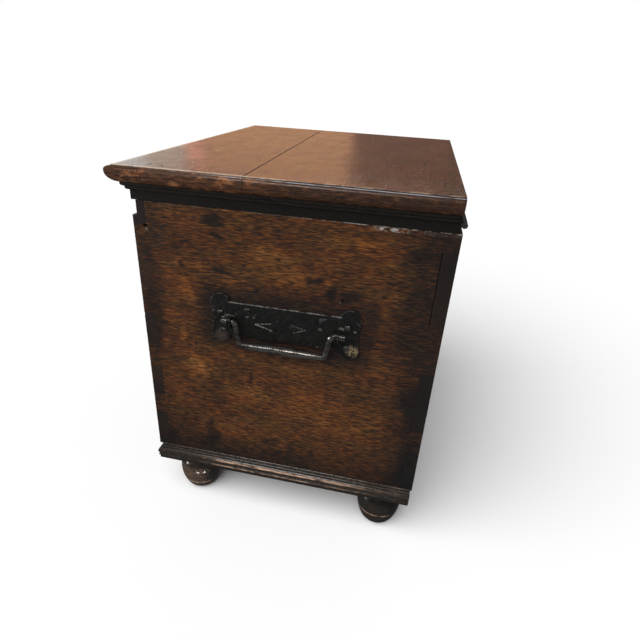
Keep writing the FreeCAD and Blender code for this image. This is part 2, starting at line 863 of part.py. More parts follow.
def make_plate(name, side):
    """A forged back plate: a bar between two waisted ends, each with a round lobe above and below."""
    body = new_body(name)
    face = sketch_on(body, "YZ_Plane", "face")
    end = of.plate_length / 2
    notch = end - of.plate_lobe_width
    middle = end - of.plate_lobe_width / 2
    bar = of.plate_bar_height / 2
    lobe = of.plate_lobe_height / 2
    turn = of.plate_lobe_radius
    shoulder = lobe - turn
    right = [
        (notch, -bar),
        (middle, -lobe, turn),
        (end, -shoulder, turn),
        (end, shoulder, -of.plate_waist_radius),
        (middle, lobe, turn),
        (notch, bar, turn),
    ]
    left = [tuple([-step[0], -step[1], *step[2:]]) for step in right]
    outline(face, right + left)
    pad(body, face, "plate", of.plate_thick, reverse=side < 0)
    holes = sketch_on(body, "YZ_Plane", "holes")
    for _, y in eye_places():
        square(holes, y, zero, shank_hole)
    for y, z in plate_nail_places():
        square(holes, y, z, nail_hole)
    pocket(body, holes, "hole_cut", middle=True)
    place(body, half_length * side, case_y, stand_height + of.plate_up)


def make_eye(name, side, y):
    """A split eye: a ring outside the plate, a shank through the board, two tails bent back inside."""
    body = new_body(name)
    ring = sketch_on(body, "XZ_Plane", "ring")
    circle(ring, zero, zero, eye_ring_radius)
    circle(ring, zero, zero, eye_hole_radius)
    pad(body, ring, "ring_pad", of.eye_thick, middle=True)
    start = -(eye_hole_radius + of.eye_wall / 2) * side
    shank = sketch_on(body, "YZ_Plane", "shank", start)
    square(shank, zero, zero, of.eye_shank)
    inside = eye_out + of.end_thick + of.joint_fit + of.eye_tail_thick
    pad(body, shank, "shank_pad", inside - eye_hole_radius - of.eye_wall / 2, reverse=side > 0)
    tail = sketch_on(body, "YZ_Plane", "tails", -(inside - of.eye_tail_thick) * side)
    half = of.eye_tail_height / 2
    rectangle(tail, -of.eye_shank / 2, -half, of.eye_shank / 2, half)
    pad(body, tail, "tail_pad", of.eye_tail_thick, reverse=side > 0)
    place(body, (half_length + eye_out) * side, case_y + y, stand_height + of.plate_up)


def make_bail(name, side):
    """A drop handle: two stubs in the eyes, legs that draw in, and a grip that swells in the middle."""
    body = new_body(name)
    stub_in = of.eye_spacing / 2 - of.eye_thick / 2 - of.bail_play * 2
    stub_out = stub_in + of.bail_stub
    leg = stub_in - of.bail_radius
    grip = of.bail_grip_half
    long = grip - of.bail_radius * GRIP_START_SHARE
    level = -of.bail_drop
    for sign, end in ((-1, "front"), (1, "back")):
        path = sketch_on(body, "YZ_Plane", f"{end}_path")
        corners = [(y * sign, z) for y, z in ((stub_out, zero), (leg, zero), (grip, level), (long, level))]
        outline(path, rounded(corners, of.bail_radius * BEND_SHARE), closed=False)
        section = sketch_on(body, "XZ_Plane", f"{end}_section", -stub_out * sign)
        circle(section, zero, zero, of.bail_radius)
        pipe = body.newObject("PartDesign::AdditivePipe", f"{name}_{end}_rod")
        pipe.Profile = section
        pipe.Spine = (path, [f"Edge{index + 1}" for index in range(path.GeometryCount)])
        doc.recompute()
    swell = sketch_on(body, "YZ_Plane", "swell")
    thick = of.bail_grip_radius
    collar = of.bail_collar
    outline(swell, [
        (-long, level),
        (long, level),
        (long, level + of.bail_radius),
        (collar * 2, level + thick),
        (collar, level + thick + collar / 2),
        (-collar, level + thick + collar / 2),
        (-collar * 2, level + thick),
        (-long, level + of.bail_radius),
    ])
    barrel = body.newObject("PartDesign::Revolution", f"{name}_grip")
    barrel.Profile = swell
    barrel.ReferenceAxis = (swell, ["Edge2"])
    barrel.Angle = 360
    doc.recompute()
    place(body, (half_length + eye_out) * side, case_y, stand_height + of.plate_up)


# The nails

def nail_solid(name, points_to, thick, length, head):
    """A forged nail, square in section, that goes in along points_to: under a low four-sided head,
    or flush where head is zero."""
    shank = doc.addObject("Part::Box", f"{name}_shank")
    bind(shank, Length=thick, Width=thick, Height=length)
    place(shank, -thick / 2, -thick / 2, zero)
    whole = shank
    if head.value:
        rose = doc.addObject("Part::Wedge", f"{name}_head")
        half = head / 2
        top = half * HEAD_TOP_SHARE
        bind(
            rose,
            Xmin=-half, Xmax=half, Zmin=-half, Zmax=half, Ymin=zero, Ymax=of.nail_head_height,
            X2min=-top, X2max=top, Z2min=-top, Z2max=top,
        )
        rose.Placement = Placement(Vector(), Rotation(Vector(1, 0, 0), -90))
        whole = doc.addObject("Part::Fuse", f"{name}_whole")
        whole.Base = shank
        whole.Tool = rose
    turned = doc.addObject("Part::Compound", f"{name}_turned")
    turned.Links = [whole]
    turned.Placement = Placement(Vector(), Rotation(Vector(0, 0, 1), points_to))
    return turned


def nail_group(name, places, points_to, thick, length, head, at):
    """Nails that share one node, as separate solids. Each place is where a head meets the work."""
    nails = []
    for index, (x, y, z) in enumerate(places):
        nail = doc.addObject("Part::Compound", f"{name}_{index}")
        nail.Links = [nail_solid(f"{name}_{index}", points_to, thick, length, head)]
        place(nail, x, y, z)
        nails.append(nail)
    group = new_node("Part::Compound", name)
    group.Links = nails
    place(group, *at)


def make_plate_nails(name, side):
    out = of.plate_thick * side
    places = [(out, y, z) for y, z in plate_nail_places()]
    at = (half_length * side, case_y, stand_height + of.plate_up)
    nail_group(name, places, Vector(-side, 0, 0), of.nail_thick, of.nail_length, of.nail_head, at)


def hinge_nail_places(side):
    """Where the nails go in a hinge leaf, along X and Y."""
    for share in HINGE_NAIL_SHARES:
        yield hinge_x * side + of.hinge_length * share, leaf_front + of.hinge_leaf_width * HINGE_LEAF_SHARE


def make_hinge_nails():
    places = [(x, y, zero) for side in (1, -1) for x, y in hinge_nail_places(side)]
    down = (zero, case_y, stand_height + of.case_height)
    nail_group("case_hinge_nails", places, Vector(0, 0, -1), of.nail_thick, of.nail_length, zero, down)
    up = (zero, case_y, lid_z)
    nail_group("lid_hinge_nails", places, Vector(0, 0, 1), of.nail_thick, of.nail_length, zero, up)


def stand_nail_places():
    return [of.case_length * share for share in STAND_NAIL_SHARES]


def make_stand_nails():
    """Nails up through the front and back rails into the case's lower edges."""
    places = [(x, stand_nail_out * sign, zero) for sign in (-1, 1) for x in stand_nail_places()]
    at = (zero, case_y, of.foot_height)
    length = of.stand_nail_length
    nail_group("stand_nails", places, Vector(0, 0, 1), of.stand_nail_thick, length, of.stand_nail_head, at)


# The hinges

def knuckle_spans():
    """The outer two knuckles of the case leaf and the middle one of the lid leaf, along X."""
    third = of.hinge_length / 3
    half = of.hinge_length / 2
    gap = of.knuckle_gap / 2
    outer = [(-half, -half + third - gap), (half - third + gap, half)]
    return outer, [(-half + third + gap, half - third - gap)]


def make_leaf(name, side, lid):
    """A hinge leaf let into the wood, with its knuckles rolled round the pin."""
    body = new_body(name)
    outer, inner = knuckle_spans()
    spans = inner if lid else outer
    rise = of.lid_gap / 2
    tip = -hinge_axis_out - of.hinge_leaf_width
    low = rise if lid else -rise - of.hinge_leaf_thick
    high = low + of.hinge_leaf_thick
    for index, (start, end) in enumerate(spans):
        rolled = sketch_on(body, "YZ_Plane", f"knuckle_{index}", start)
        circle(rolled, zero, zero, of.knuckle_radius)
        pad(body, rolled, f"knuckle_pad_{index}", end - start)
        neck = sketch_on(body, "YZ_Plane", f"neck_{index}", start)
        rectangle(neck, -of.knuckle_radius - of.knuckle_clear * 2, low, zero, high)
        pad(body, neck, f"neck_pad_{index}", end - start)
    leaf = sketch_on(body, "XY_Plane", "leaf", low)
    rectangle(leaf, -of.hinge_length / 2, tip, of.hinge_length / 2, -of.knuckle_radius - of.knuckle_clear)
    pad(body, leaf, "leaf_pad", of.hinge_leaf_thick)
    bore = sketch_on(body, "YZ_Plane", "bore")
    circle(bore, zero, zero, of.hinge_pin_radius + of.hinge_pin_fit)
    pocket(body, bore, "bore_cut", middle=True)
    nails = sketch_on(body, "XY_Plane", "nail_holes")
    for share in HINGE_NAIL_SHARES:
        square(nails, of.hinge_length * share, tip + of.hinge_leaf_width * HINGE_LEAF_SHARE, nail_hole)
    pocket(body, nails, "nail_hole_cut", middle=True)
    place(body, hinge_x * side, case_y + hinge_axis_y, stand_height + hinge_axis_z)


def make_hinge_pin(name, side):
    pin = new_node("Part::Cylinder", name)
    bind(pin, Radius=of.hinge_pin_radius, Height=of.hinge_length)
    start = hinge_x * side - of.hinge_length / 2
    turn = Rotation(Vector(0, 0, 1), Vector(1, 0, 0))
    place(pin, start, case_y + hinge_axis_y, stand_height + hinge_axis_z, turn)


# The lock

def escutcheon_nail_places():
    for across, up in ESCUTCHEON_NAIL_SHARES:
        yield of.escutcheon_length * across, keyhole_z + of.escutcheon_height * up


def make_escutcheon():
    """The shield-shaped plate round the keyhole, on the front board."""
    body = new_body("escutcheon")
    face = sketch_on(body, "XZ_Plane", "face")
    half = of.escutcheon_length / 2
    tall = of.escutcheon_height / 2
    level = keyhole_z
    outline(face, [
        (-half, level + tall),
        (-half, level - tall * SHIELD_SHARE),
        (zero, level - tall, half * SHIELD_ARC_SHARE),
        (half, level - tall * SHIELD_SHARE, half * SHIELD_ARC_SHARE),
        (half, level + tall),
    ])
    pad(body, face, "plate", of.escutcheon_thick)
    holes = sketch_on(body, "XZ_Plane", "holes")
    keyhole(holes, level)
    for x, z in escutcheon_nail_places():
        square(holes, x, z, nail_hole)
    pocket(body, holes, "hole_cut", middle=True)
    place(body, zero, case_y - half_depth, stand_height)
    places = [(x, -of.escutcheon_thick, z) for x, z in escutcheon_nail_places()]
    at = (zero, case_y - half_depth, stand_height)
    nail_group("escutcheon_nails", places, Vector(0, 1, 0), of.nail_thick, of.nail_length, of.nail_head, at)


def make_lock_case():
    """The iron lock case inside the front board: open against the board, slotted for the staple, with
    three guides that the bolt slides through."""
    body = new_body("lock_case")
    face = sketch_on(body, "XZ_Plane", "face")
    half = of.lock_length / 2
    rectangle(face, -half, lock_base, half, lock_top)
    pad(body, face, "block", of.lock_deep, reverse=True)
    hollow = sketch_on(body, "XZ_Plane", "hollow")
    wall = of.lock_wall
    rectangle(hollow, -half + wall, lock_base + wall, half - wall, lock_top - wall)
    pocket(body, hollow, "hollow_cut", of.lock_deep - wall)
    slot = sketch_on(body, "XY_Plane", "staple_slot", lock_top)
    clear = of.bolt_fit * 2
    middle = of.lock_deep / 2
    slot_x = of.staple_thick / 2 + clear
    slot_y = of.staple_width / 2 + clear * 2
    rectangle(slot, -slot_x, middle - slot_y, slot_x, middle + slot_y)
    pocket(body, slot, "staple_slot_cut", wall * 2)
    guides = sketch_on(body, "XZ_Plane", "guides")
    half_thick = of.lock_guide_thick / 2
    low = bolt_z - of.lock_guide_height / 2
    for share in LOCK_GUIDE_SHARES:
        x = of.lock_length * share
        rectangle(guides, x - half_thick, low, x + half_thick, lock_top - wall / 2)
    pad(body, guides, "guide_pads", of.lock_deep - wall / 2, reverse=True)
    passage = sketch_on(body, "YZ_Plane", "bolt_passage")
    high = of.bolt_height / 2 + of.bolt_fit
    deep = of.bolt_thick / 2 + of.bolt_fit
    rectangle(passage, middle - deep, bolt_z - high, middle + deep, bolt_z + high)
    pocket(body, passage, "bolt_passage_cut", of.lock_length - wall * 4, middle=True)
    place(body, zero, case_y + front_inner, stand_height)


def make_lock_bolt():
    """The bolt, drawn back clear of the staple. When thrown, it still fills its last guide."""
    bolt = new_node("Part::Box", "lock_bolt")
    last_guide = of.lock_length * LOCK_GUIDE_SHARES[-1] + of.lock_guide_thick
    length = last_guide + of.bolt_throw - bolt_start
    bind(bolt, Length=length, Width=of.bolt_thick, Height=of.bolt_height)
    front = case_y + staple_y - of.bolt_thick / 2
    place(bolt, bolt_start, front, stand_height + bolt_z - of.bolt_height / 2)


def staple_seat(body):
    """The seat under the front strip for the plate of the lid's staple."""
    seat = sketch_on(body, "XY_Plane", "staple_seat")
    half = of.staple_plate / 2 + of.joint_fit
    front = front_inner - of.staple_width - of.joint_fit
    rectangle(seat, -half, front, half, front_inner + of.overrun)
    pocket(body, seat, "staple_seat_cut", of.staple_plate_thick, reverse=True)


def make_lid_staple():
    """A plate under the lid's front strip with a loop that drops into the lock."""
    body = new_body("lid_staple")
    plan = sketch_on(body, "XY_Plane", "plate")
    half = of.staple_plate / 2
    rectangle(plan, -half, front_inner - of.staple_width, half, staple_y + of.staple_width / 2)
    pad(body, plan, "plate_pad", of.staple_plate_thick)
    loop = sketch_on(body, "YZ_Plane", "loop")
    wide = of.staple_width / 2
    drop = of.staple_drop
    outline(loop, [
        (staple_y - wide, of.staple_plate_thick / 2),
        (staple_y - wide, -drop + wide),
        (staple_y, -drop, wide),
        (staple_y + wide, -drop + wide, wide),
        (staple_y + wide, of.staple_plate_thick / 2),
    ])
    pad(body, loop, "loop_pad", of.staple_thick, middle=True)
    opening = sketch_on(body, "YZ_Plane", "opening")
    inner = wide - of.staple_bar
    bar = of.staple_bar * 2
    rectangle(opening, staple_y - inner, -drop + bar, staple_y + inner, -bar)
    pocket(body, opening, "opening_cut", middle=True)
    place(body, zero, case_y, lid_z)


def make_all():
    make_front_board()
    make_back_board()
    for name, side in (("right", 1), ("left", -1)):
        make_end_board(f"{name}_end_board", side)
        make_plate(f"{name}_handle_plate", side)
        for corner, y in eye_places():
            make_eye(f"{name}_{corner}_eye", side, y)
        make_bail(f"{name}_bail", side)
        make_plate_nails(f"{name}_plate_nails", side)
        make_leaf(f"{name}_hinge_case_leaf", side, lid=False)
        make_leaf(f"{name}_hinge_lid_leaf", side, lid=True)
        make_hinge_pin(f"{name}_hinge_pin", side)
    make_bottom_boards()
    make_lid_board("lid_board_front", True)
    make_lid_board("lid_board_back", False)
    make_lid_strips()
    make_lid_back_rail()
    make_stand_rails()
    make_plinth_mouldings()
    for name, x, y in foot_places():
        make_foot(name, x, y)
    make_hinge_nails()
    make_stand_nails()
    make_escutcheon()
    make_lock_case()
    make_lock_bolt()
    make_lid_staple()


make_all()
doc.recompute()

# Write each piece, once nothing in the document has failed

for thing in doc.Objects:
    if {"Invalid", "Error"} & set(thing.State):
        raise RuntimeError(f"{thing.Name} is {thing.State}")
for node in nodes:
    if node.Shape.isNull() or not node.Shape.isValid():
        raise RuntimeError(f"{node.Label} has no valid shape")
os.makedirs("parts", exist_ok=True)
for node in nodes:
    node.Shape.exportStep(os.path.join("parts", f"{node.Label}.step"))
print(len(nodes), "pieces")
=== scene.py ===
# %% [markdown]
# # An oak bible box on its stand
#
# The joiner's work comes in as solids from the CAD model, each in its true place. This lesson
# dresses them: oak three hundred years old, dark with wax and hands, and black forged iron.
# Lengths are in metres in Blender. The finishes work in millimetres, as a rule at the bench does.

import json
import math
import random

import bpy
from mathutils import Matrix, Vector


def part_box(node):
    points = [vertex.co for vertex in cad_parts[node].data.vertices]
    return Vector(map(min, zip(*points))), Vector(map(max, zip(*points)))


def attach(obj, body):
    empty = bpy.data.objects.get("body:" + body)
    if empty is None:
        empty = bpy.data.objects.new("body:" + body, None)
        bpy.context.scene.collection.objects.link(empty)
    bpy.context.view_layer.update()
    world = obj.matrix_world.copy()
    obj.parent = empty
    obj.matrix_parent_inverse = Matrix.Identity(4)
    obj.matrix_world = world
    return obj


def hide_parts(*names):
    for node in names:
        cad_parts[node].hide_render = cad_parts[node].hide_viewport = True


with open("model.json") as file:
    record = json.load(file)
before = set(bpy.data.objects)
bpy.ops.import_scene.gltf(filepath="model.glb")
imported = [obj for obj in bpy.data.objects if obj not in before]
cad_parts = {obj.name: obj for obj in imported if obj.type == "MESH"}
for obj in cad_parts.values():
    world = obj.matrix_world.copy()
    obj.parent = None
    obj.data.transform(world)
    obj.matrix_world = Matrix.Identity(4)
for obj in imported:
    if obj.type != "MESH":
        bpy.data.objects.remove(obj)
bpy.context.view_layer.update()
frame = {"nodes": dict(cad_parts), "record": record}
nodes = frame["nodes"]
MM = 0.001

# %% [markdown]
# ## The camera
#
# The picture was taken from close by, above the right-hand end, with a phone held a little
# askew. The box's own corners, whose places are known, fix where the lens was: a wide lens
# 530 mm off the end, turned 28 degrees down and rolled 3 degrees. A small shift stands for the
# way the picture was cropped.

# %% Stand the camera where the picture was taken
CAMERA_AT = Vector((0.7821, 0.14155, 0.6060))
TURN, DOWN, ROLL = math.radians(-10.84), math.radians(28.13), math.radians(3.19)

ahead = Vector((
    -math.cos(DOWN) * math.cos(TURN),
    math.cos(DOWN) * math.sin(TURN),
    -math.sin(DOWN),
))
level = ahead.cross(Vector((0, 0, 1))).normalized()
right = Matrix.Rotation(-ROLL, 3, ahead) @ level
up = right.cross(ahead)
lens = bpy.data.cameras.new("phone_lens")
lens.sensor_width = 36
lens.lens = 27.53
lens.shift_x = 0.0150
lens.shift_y = 0.0209
camera = bpy.data.objects.new("camera", lens)
camera.matrix_world = Matrix.Translation(CAMERA_AT) @ Matrix((right, up, -ahead)).transposed().to_4x4()
bpy.context.scene.collection.objects.link(camera)
bpy.context.scene.camera = camera
print("camera looks along", tuple(round(each, 3) for each in ahead))

# %% [markdown]
# ## The floor and the light
#
# Old polished oak is nearly black until something bright is mirrored in it, so the light is
# what shows its polish. It stands on a plain pale floor that isn't mirrored in the wood. The
# floor is a wide plane with chalky paint, as a photographer's paper sweep would be.

# %% Lay the floor
def clear_choice():
    """Nothing selected and nothing active, so the next operator acts on its own piece alone."""
    if bpy.context.object and bpy.context.object.mode != "OBJECT":
        bpy.ops.object.mode_set(mode="OBJECT")
    bpy.ops.object.select_all(action="DESELECT")
    bpy.context.view_layer.objects.active = None


clear_choice()
bpy.ops.mesh.primitive_plane_add(size=60, location=(0, 0, 0))
floor = bpy.context.object
floor.name = "floor"
floor.visible_glossy = False
paint = bpy.data.materials.new("floor_paint")
paint.use_nodes = True
paint.node_tree.nodes["Principled BSDF"].inputs["Base Color"].default_value = (0.9, 0.9, 0.9, 1)
paint.node_tree.nodes["Principled BSDF"].inputs["Roughness"].default_value = 0.9
paint.node_tree.nodes["Principled BSDF"].inputs["Specular IOR Level"].default_value = 0
floor.data.materials.append(paint)
print("floor laid")

# %% [markdown]
# ### The room
#
# The wood's colour comes from one soft high light and a dim sky. Everything else is a wall, a
# window or a lamp that only gloss can see: a warm wall and a window far behind the box make
# the sheen on the lid, a window overhead lights the grip, and one at the left and two tiny
# lamps near the floor make the bright spots on the front foot.

# %% Hang the lights
bpy.context.scene.view_settings.view_transform = "Standard"


def soft_light(name, kind, at, towards, energy, **shape):
    """A lamp at a place, aimed at a point. Shape holds its size and what may see it."""
    lamp = bpy.data.lights.new(name, kind)
    lamp.energy = energy
    thing = bpy.data.objects.new(name, lamp)
    for key, value in shape.items():
        setattr(thing if key.startswith("visible") else lamp, key, value)
    aim = Vector(towards) - Vector(at)
    thing.matrix_world = Matrix.Translation(at) @ aim.to_track_quat("-Z", "Y").to_matrix().to_4x4()
    bpy.context.scene.collection.objects.link(thing)
    return thing


soft_light(
    "high_sky", "SUN", (1.6, -0.9, 2.4), (0, 0, 0.25), 3.75, angle=math.radians(70), visible_glossy=False,
)
WINDOW_SPREAD, GLINT_SPREAD = math.radians(180), math.radians(24)
WALLS = {
    # name: (where, aimed at, watts, across, up, colour)
    "lit_wall": ((-3.0, -0.925, 1.0), (3.0, -0.925, 1.0), 3.7, 1.15, 1.5, (1.0, 0.49, 0.23)),
    "dim_wall": ((-3.0, 0.0, 1.0), (3.0, 0.0, 1.0), 0.28, 0.7, 1.5, (1.0, 0.28, 0.06)),
    "red_cloth": ((-3.0, -1.59, 0.9), (3.0, -1.59, 0.9), 0.32, 0.15, 0.4, (1.0, 0.42, 0.28)),
    "far_curtain": ((-3.0, -1.84, 1.0), (3.0, -1.84, 1.0), 1.2, 0.35, 1.5, (1.0, 0.82, 0.66)),
    "far_window": ((-3.0, -2.46, 1.0), (3.0, -2.46, 1.0), 4.3, 0.90, 1.5, (0.98, 1.0, 0.95)),
    "sky_window": ((-2.2, -0.75, 2.0), (0.27, 0.0, 0.5), 7.0, 1.8, 0.5, (0.78, 0.88, 1.0)),
    "roof_window": ((1.23, -0.31, 1.69), (0.26, 0.0, 0.2), 9.5, 0.75, 0.65, (1.0, 0.95, 0.91)),
    "left_window": ((0.95, -2.2, 0.35), (0.25, -0.15, 0.05), 17.0, 0.6, 0.65, (1.0, 0.98, 0.94)),
    "low_glint_a": (
        (0.3252, -0.131, 0.0096), (0.2513, -0.1285, 0.0402), 0.00019, 0.012, 0.010, (1.0, 0.98, 0.95),
    ),
    "low_glint_b": (
        (0.3092, -0.077, 0.0109), (0.2471, -0.1177, 0.0407), 0.00019, 0.012, 0.010, (1.0, 0.98, 0.95),
    ),
}
for name, (at, towards, watts, across, tall, colour) in WALLS.items():
    soft_light(
        name, "AREA", at, towards, watts, shape="RECTANGLE", size=across, size_y=tall, color=colour,
        spread=GLINT_SPREAD if "glint" in name else WINDOW_SPREAD,
        visible_camera=False, visible_diffuse=False,
    )
sky = bpy.data.worlds.new("room")
bpy.context.scene.world = sky
sky.use_nodes = True
glow = sky.node_tree.nodes["Background"]
glow.inputs["Color"].default_value = (1, 1, 1, 1)
rays = sky.node_tree.nodes.new("ShaderNodeLightPath")
level = {"Is Camera Ray": (0.24, 1.0), "Is Glossy Ray": (1.0, 0.33)}
product = None
for kind, (others, these) in level.items():
    step = sky.node_tree.nodes.new("ShaderNodeMapRange")
    step.inputs["To Min"].default_value = others
    step.inputs["To Max"].default_value = these
    sky.node_tree.links.new(rays.outputs[kind], step.inputs["Value"])
    if product:
        both = sky.node_tree.nodes.new("ShaderNodeMath")
        both.operation = "MULTIPLY"
        sky.node_tree.links.new(product, both.inputs[0])
        sky.node_tree.links.new(step.outputs["Result"], both.inputs[1])
        product = both.outputs[0]
    else:
        product = step.outputs["Result"]
sky.node_tree.links.new(product, glow.inputs["Strength"])
print("lights:", [each.name for each in bpy.data.lights])

# %% [markdown]
# ## A finish as sums
#
# A finish is a graph of small steps. Written as sums it stays short: a Wire is one output of
# the graph, and adding or multiplying Wires adds the Math nodes that do it. Every pattern
# reads the piece's own place in millimetres, so a knot stays on its board when the lid opens.

# %% Wires
class Wire:
    """One output of a finish's graph, which adds and multiplies as a number does."""

    def __init__(self, finish, socket):
        self.finish = finish
        self.socket = socket

    def maths(self, operation, *values):
        return self.finish.add("ShaderNodeMath", {"operation": operation}, dict(enumerate(values)))

    def __add__(self, other):
        return self.maths("ADD", self, other)

    __radd__ = __add__

    def __sub__(self, other):
        return self.maths("SUBTRACT", self, other)

    def __rsub__(self, other):
        return self.maths("SUBTRACT", other, self)

    def __mul__(self, other):
        return self.maths("MULTIPLY", self, other)

    __rmul__ = __mul__

    def __abs__(self):
        return self.maths("ABSOLUTE", self)

    def most(self, other):
        return self.maths("MAXIMUM", self, other)

    def least(self, other):
        return self.maths("MINIMUM", self, other)

    def rise(self, low, high):
        """0 below low, 1 above high, and smooth between. With low above high it falls instead."""
        sockets = {"Value": self, "From Min": low, "From Max": high}
        return self.finish.add("ShaderNodeMapRange", {"interpolation_type": "SMOOTHSTEP"}, sockets)


print("wires can be added, multiplied and compared")

# %% [markdown]
# ### The patterns of a finish
#
# One class holds the material and the few patterns that every wood and metal here is made of:
# cloudy noise, a soft spot, a line, a scratch and a worn edge. Each is a Wire between 0 and 1,
# so a new finish is a few sums, and a change in one place shows on every piece.

# %% The graph of one finish
class Finish:
    """The graph of one material. Its lengths are millimetres."""

    def __init__(self, name, **fixed):
        self.material = bpy.data.materials.new(name)
        self.material.use_nodes = True
        self.tree = self.material.node_tree
        self.shader = self.tree.nodes["Principled BSDF"]
        for socket, value in fixed.items():
            self.shader.inputs[socket.replace("_", " ")].default_value = value
        metres = self.add("ShaderNodeTexCoord", out="Object")
        sockets = {"Vector": metres, "Scale": 1 / MM}
        self.at = self.add("ShaderNodeVectorMath", {"operation": "SCALE"}, sockets)
        self.x, self.y, self.z = self.parts(self.at)
        self.faces = self.parts(self.add("ShaderNodeTexCoord", out="Normal"))

    def add(self, kind, settings=(), sockets=(), out=0):
        """Add one node: its settings first, then the value or the Wire of each socket."""
        node = self.tree.nodes.new(kind)
        for name, value in dict(settings).items():
            if name == "stops":
                self.set_stops(node.color_ramp, value)
            else:
                setattr(node, name, value)
        for name, value in dict(sockets).items():
            socket = self.find(node.inputs, name)
            if isinstance(value, Wire):
                self.tree.links.new(value.socket, socket)
            else:
                socket.default_value = value
        return Wire(self, self.find(node.outputs, out))

    def find(self, sockets, name):
        if isinstance(name, int):
            return sockets[name]
        return next(each for each in sockets if name in (each.identifier, each.name))

    def set_stops(self, ramp, stops):
        while len(ramp.elements) < len(stops):
            ramp.elements.new(1.0)
        for element, (place, colour) in zip(ramp.elements, stops):
            element.position = place
            element.color = (*colour, 1)

    def parts(self, vector):
        split = self.add("ShaderNodeSeparateXYZ", (), {0: vector})
        return [Wire(self, each) for each in split.socket.node.outputs]

    def noise(self, size, seed, detail=3.0, roughness=0.55, twist=0.0, at=None):
        """Cloudy noise about 0.5 whose clouds measure size = (x, y, z) millimetres."""
        shrunk = self.add("ShaderNodeVectorMath", {"operation": "MULTIPLY_ADD"}, {
            0: at or self.at,
            1: [1 / each for each in size],
            2: (seed, seed * 1.7, seed * 2.3),
        })
        return self.add("ShaderNodeTexNoise", (), {
            "Vector": shrunk, "Scale": 1.0, "Detail": detail, "Roughness": roughness, "Distortion": twist,
        })

    def patch(self, at, middle, half, soft=0.5):
        """A spot: 1 at its middle, falling to 0 at its edge. An infinite half ignores that axis."""
        scale = [0 if each == math.inf else 1 / each for each in half]
        moved = self.add("ShaderNodeVectorMath", {"operation": "MULTIPLY_ADD"}, {
            0: at, 1: scale, 2: [-m * s for m, s in zip(middle, scale)],
        })
        far = self.add("ShaderNodeVectorMath", {"operation": "LENGTH"}, {0: moved}, out="Value")
        return far.rise(1.0, 1.0 - soft)

    def line(self, value, middle, width):
        """1 where a value is at its middle, falling to 0 at width to either side."""
        return abs(value - middle).rise(width, width * 0.3)

    def stroke(self, start, end, width):
        """1 along a straight scratch on a face that looks along X. Its ends are (y, z)."""
        length = math.dist(start, end)
        along_y, along_z = ((b - a) / length for a, b in zip(start, end))
        y, z = self.y - start[0], self.z - start[1]
        along = y * along_y + z * along_z
        beside = z * along_y - y * along_z
        return self.line(beside, 0, width) * along.rise(-1, 0.5) * along.rise(length + 1, length - 1)

    def arris(self, width):
        """1 along the sharp edges, over about this width, and 0 on the flats."""
        rounded = self.add("ShaderNodeBevel", {"samples": 4}, {"Radius": width * MM})
        straight = self.add("ShaderNodeNewGeometry", out="Normal")
        sockets = {0: rounded, 1: straight}
        agree = self.add("ShaderNodeVectorMath", {"operation": "DOT_PRODUCT"}, sockets, out="Value")
        return agree.rise(0.995, 0.88)

    def patches(self, at, spots):
        """The strongest of several spots: (middle, half sizes, strength) each."""
        total = None
        for middle, half, strength in spots:
            spot = self.patch(at, middle, half, 0.9) * strength
            total = spot if total is None else total.most(spot)
        return total

    def wander(self, reach, size, seed):
        """The place, moved about by a soft noise, so that a spot drawn on it has an uneven edge."""
        cloud = self.noise(size, seed, 2.0)
        colours = Wire(self, self.find(cloud.socket.node.outputs, "Color"))
        return self.add("ShaderNodeVectorMath", {"operation": "MULTIPLY_ADD"}, {
            0: self.add("ShaderNodeVectorMath", {"operation": "SUBTRACT"}, {0: colours, 1: (0.5, 0.5, 0.5)}),
            1: (reach, reach, reach),
            2: self.at,
        })

    def tones(self, value, stops):
        return self.add("ShaderNodeValToRGB", {"stops": stops}, {0: value})

    def blend(self, mask, under, over):
        """Two colours, the second laid over the first where the mask is 1."""
        colours = [each if isinstance(each, Wire) else (*each, 1) for each in (under, over)]
        sockets = {"Factor_Float": mask, "A_Color": colours[0], "B_Color": colours[1]}
        return self.add("ShaderNodeMix", {"data_type": "RGBA"}, sockets, out="Result_Color")

    def done(self, relief=None, edge=None, **looks):
        """Join the wires to the shader. Relief is a height in millimetres, edge a soft arris."""
        for socket, value in looks.items():
            self.tree.links.new(value.socket, self.shader.inputs[socket.replace("_", " ")])
        normal = None
        if edge:
            normal = self.add("ShaderNodeBevel", {"samples": 4}, {"Radius": edge * MM})
        if relief:
            sockets = {"Height": relief, "Distance": MM, "Strength": 1.0}
            if normal:
                sockets["Normal"] = normal
            normal = self.add("ShaderNodeBump", (), sockets)
        if normal:
            self.tree.links.new(normal.socket, self.shader.inputs["Normal"])
        return self.material


print("the bench is ready")

# %% [markdown]
# ## Old oak
#
# Oak shows long bands of tone, finer streaks, and the short dark dashes of its pores, all along
# the grain. Three noises stretched along the grain give these. Across a board's end the grain
# is cut short, so there it is a dark speckle. On top lies what the years did, and some painted
# light: wax and soot darken the corners, the hollows are painted dark, dirt and painted shade
# together, the crests of some rounds carry painted highlights, and hands wear the edges pale.

# %% Grain
OAK = [
    (0.0, (0.0085, 0.0078, 0.0080)),
    (0.28, (0.0160, 0.0106, 0.0080)),
    (0.5, (0.046, 0.0205, 0.0080)),
    (0.72, (0.112, 0.0465, 0.0118)),
    (1.0, (0.25, 0.112, 0.034)),
]
RED_OAK = [
    (0.0, (0.0085, 0.0076, 0.0080)),
    (0.28, (0.0180, 0.0100, 0.0078)),
    (0.5, (0.054, 0.0185, 0.0068)),
    (0.72, (0.134, 0.0435, 0.0088)),
    (1.0, (0.30, 0.104, 0.025)),
]
AXES = {"x": 0, "y": 1, "z": 2}


def along_grain(axis, length, across):
    """The size of a streak that runs along one axis."""
    size = [across] * 3
    size[AXES[axis]] = length
    return size


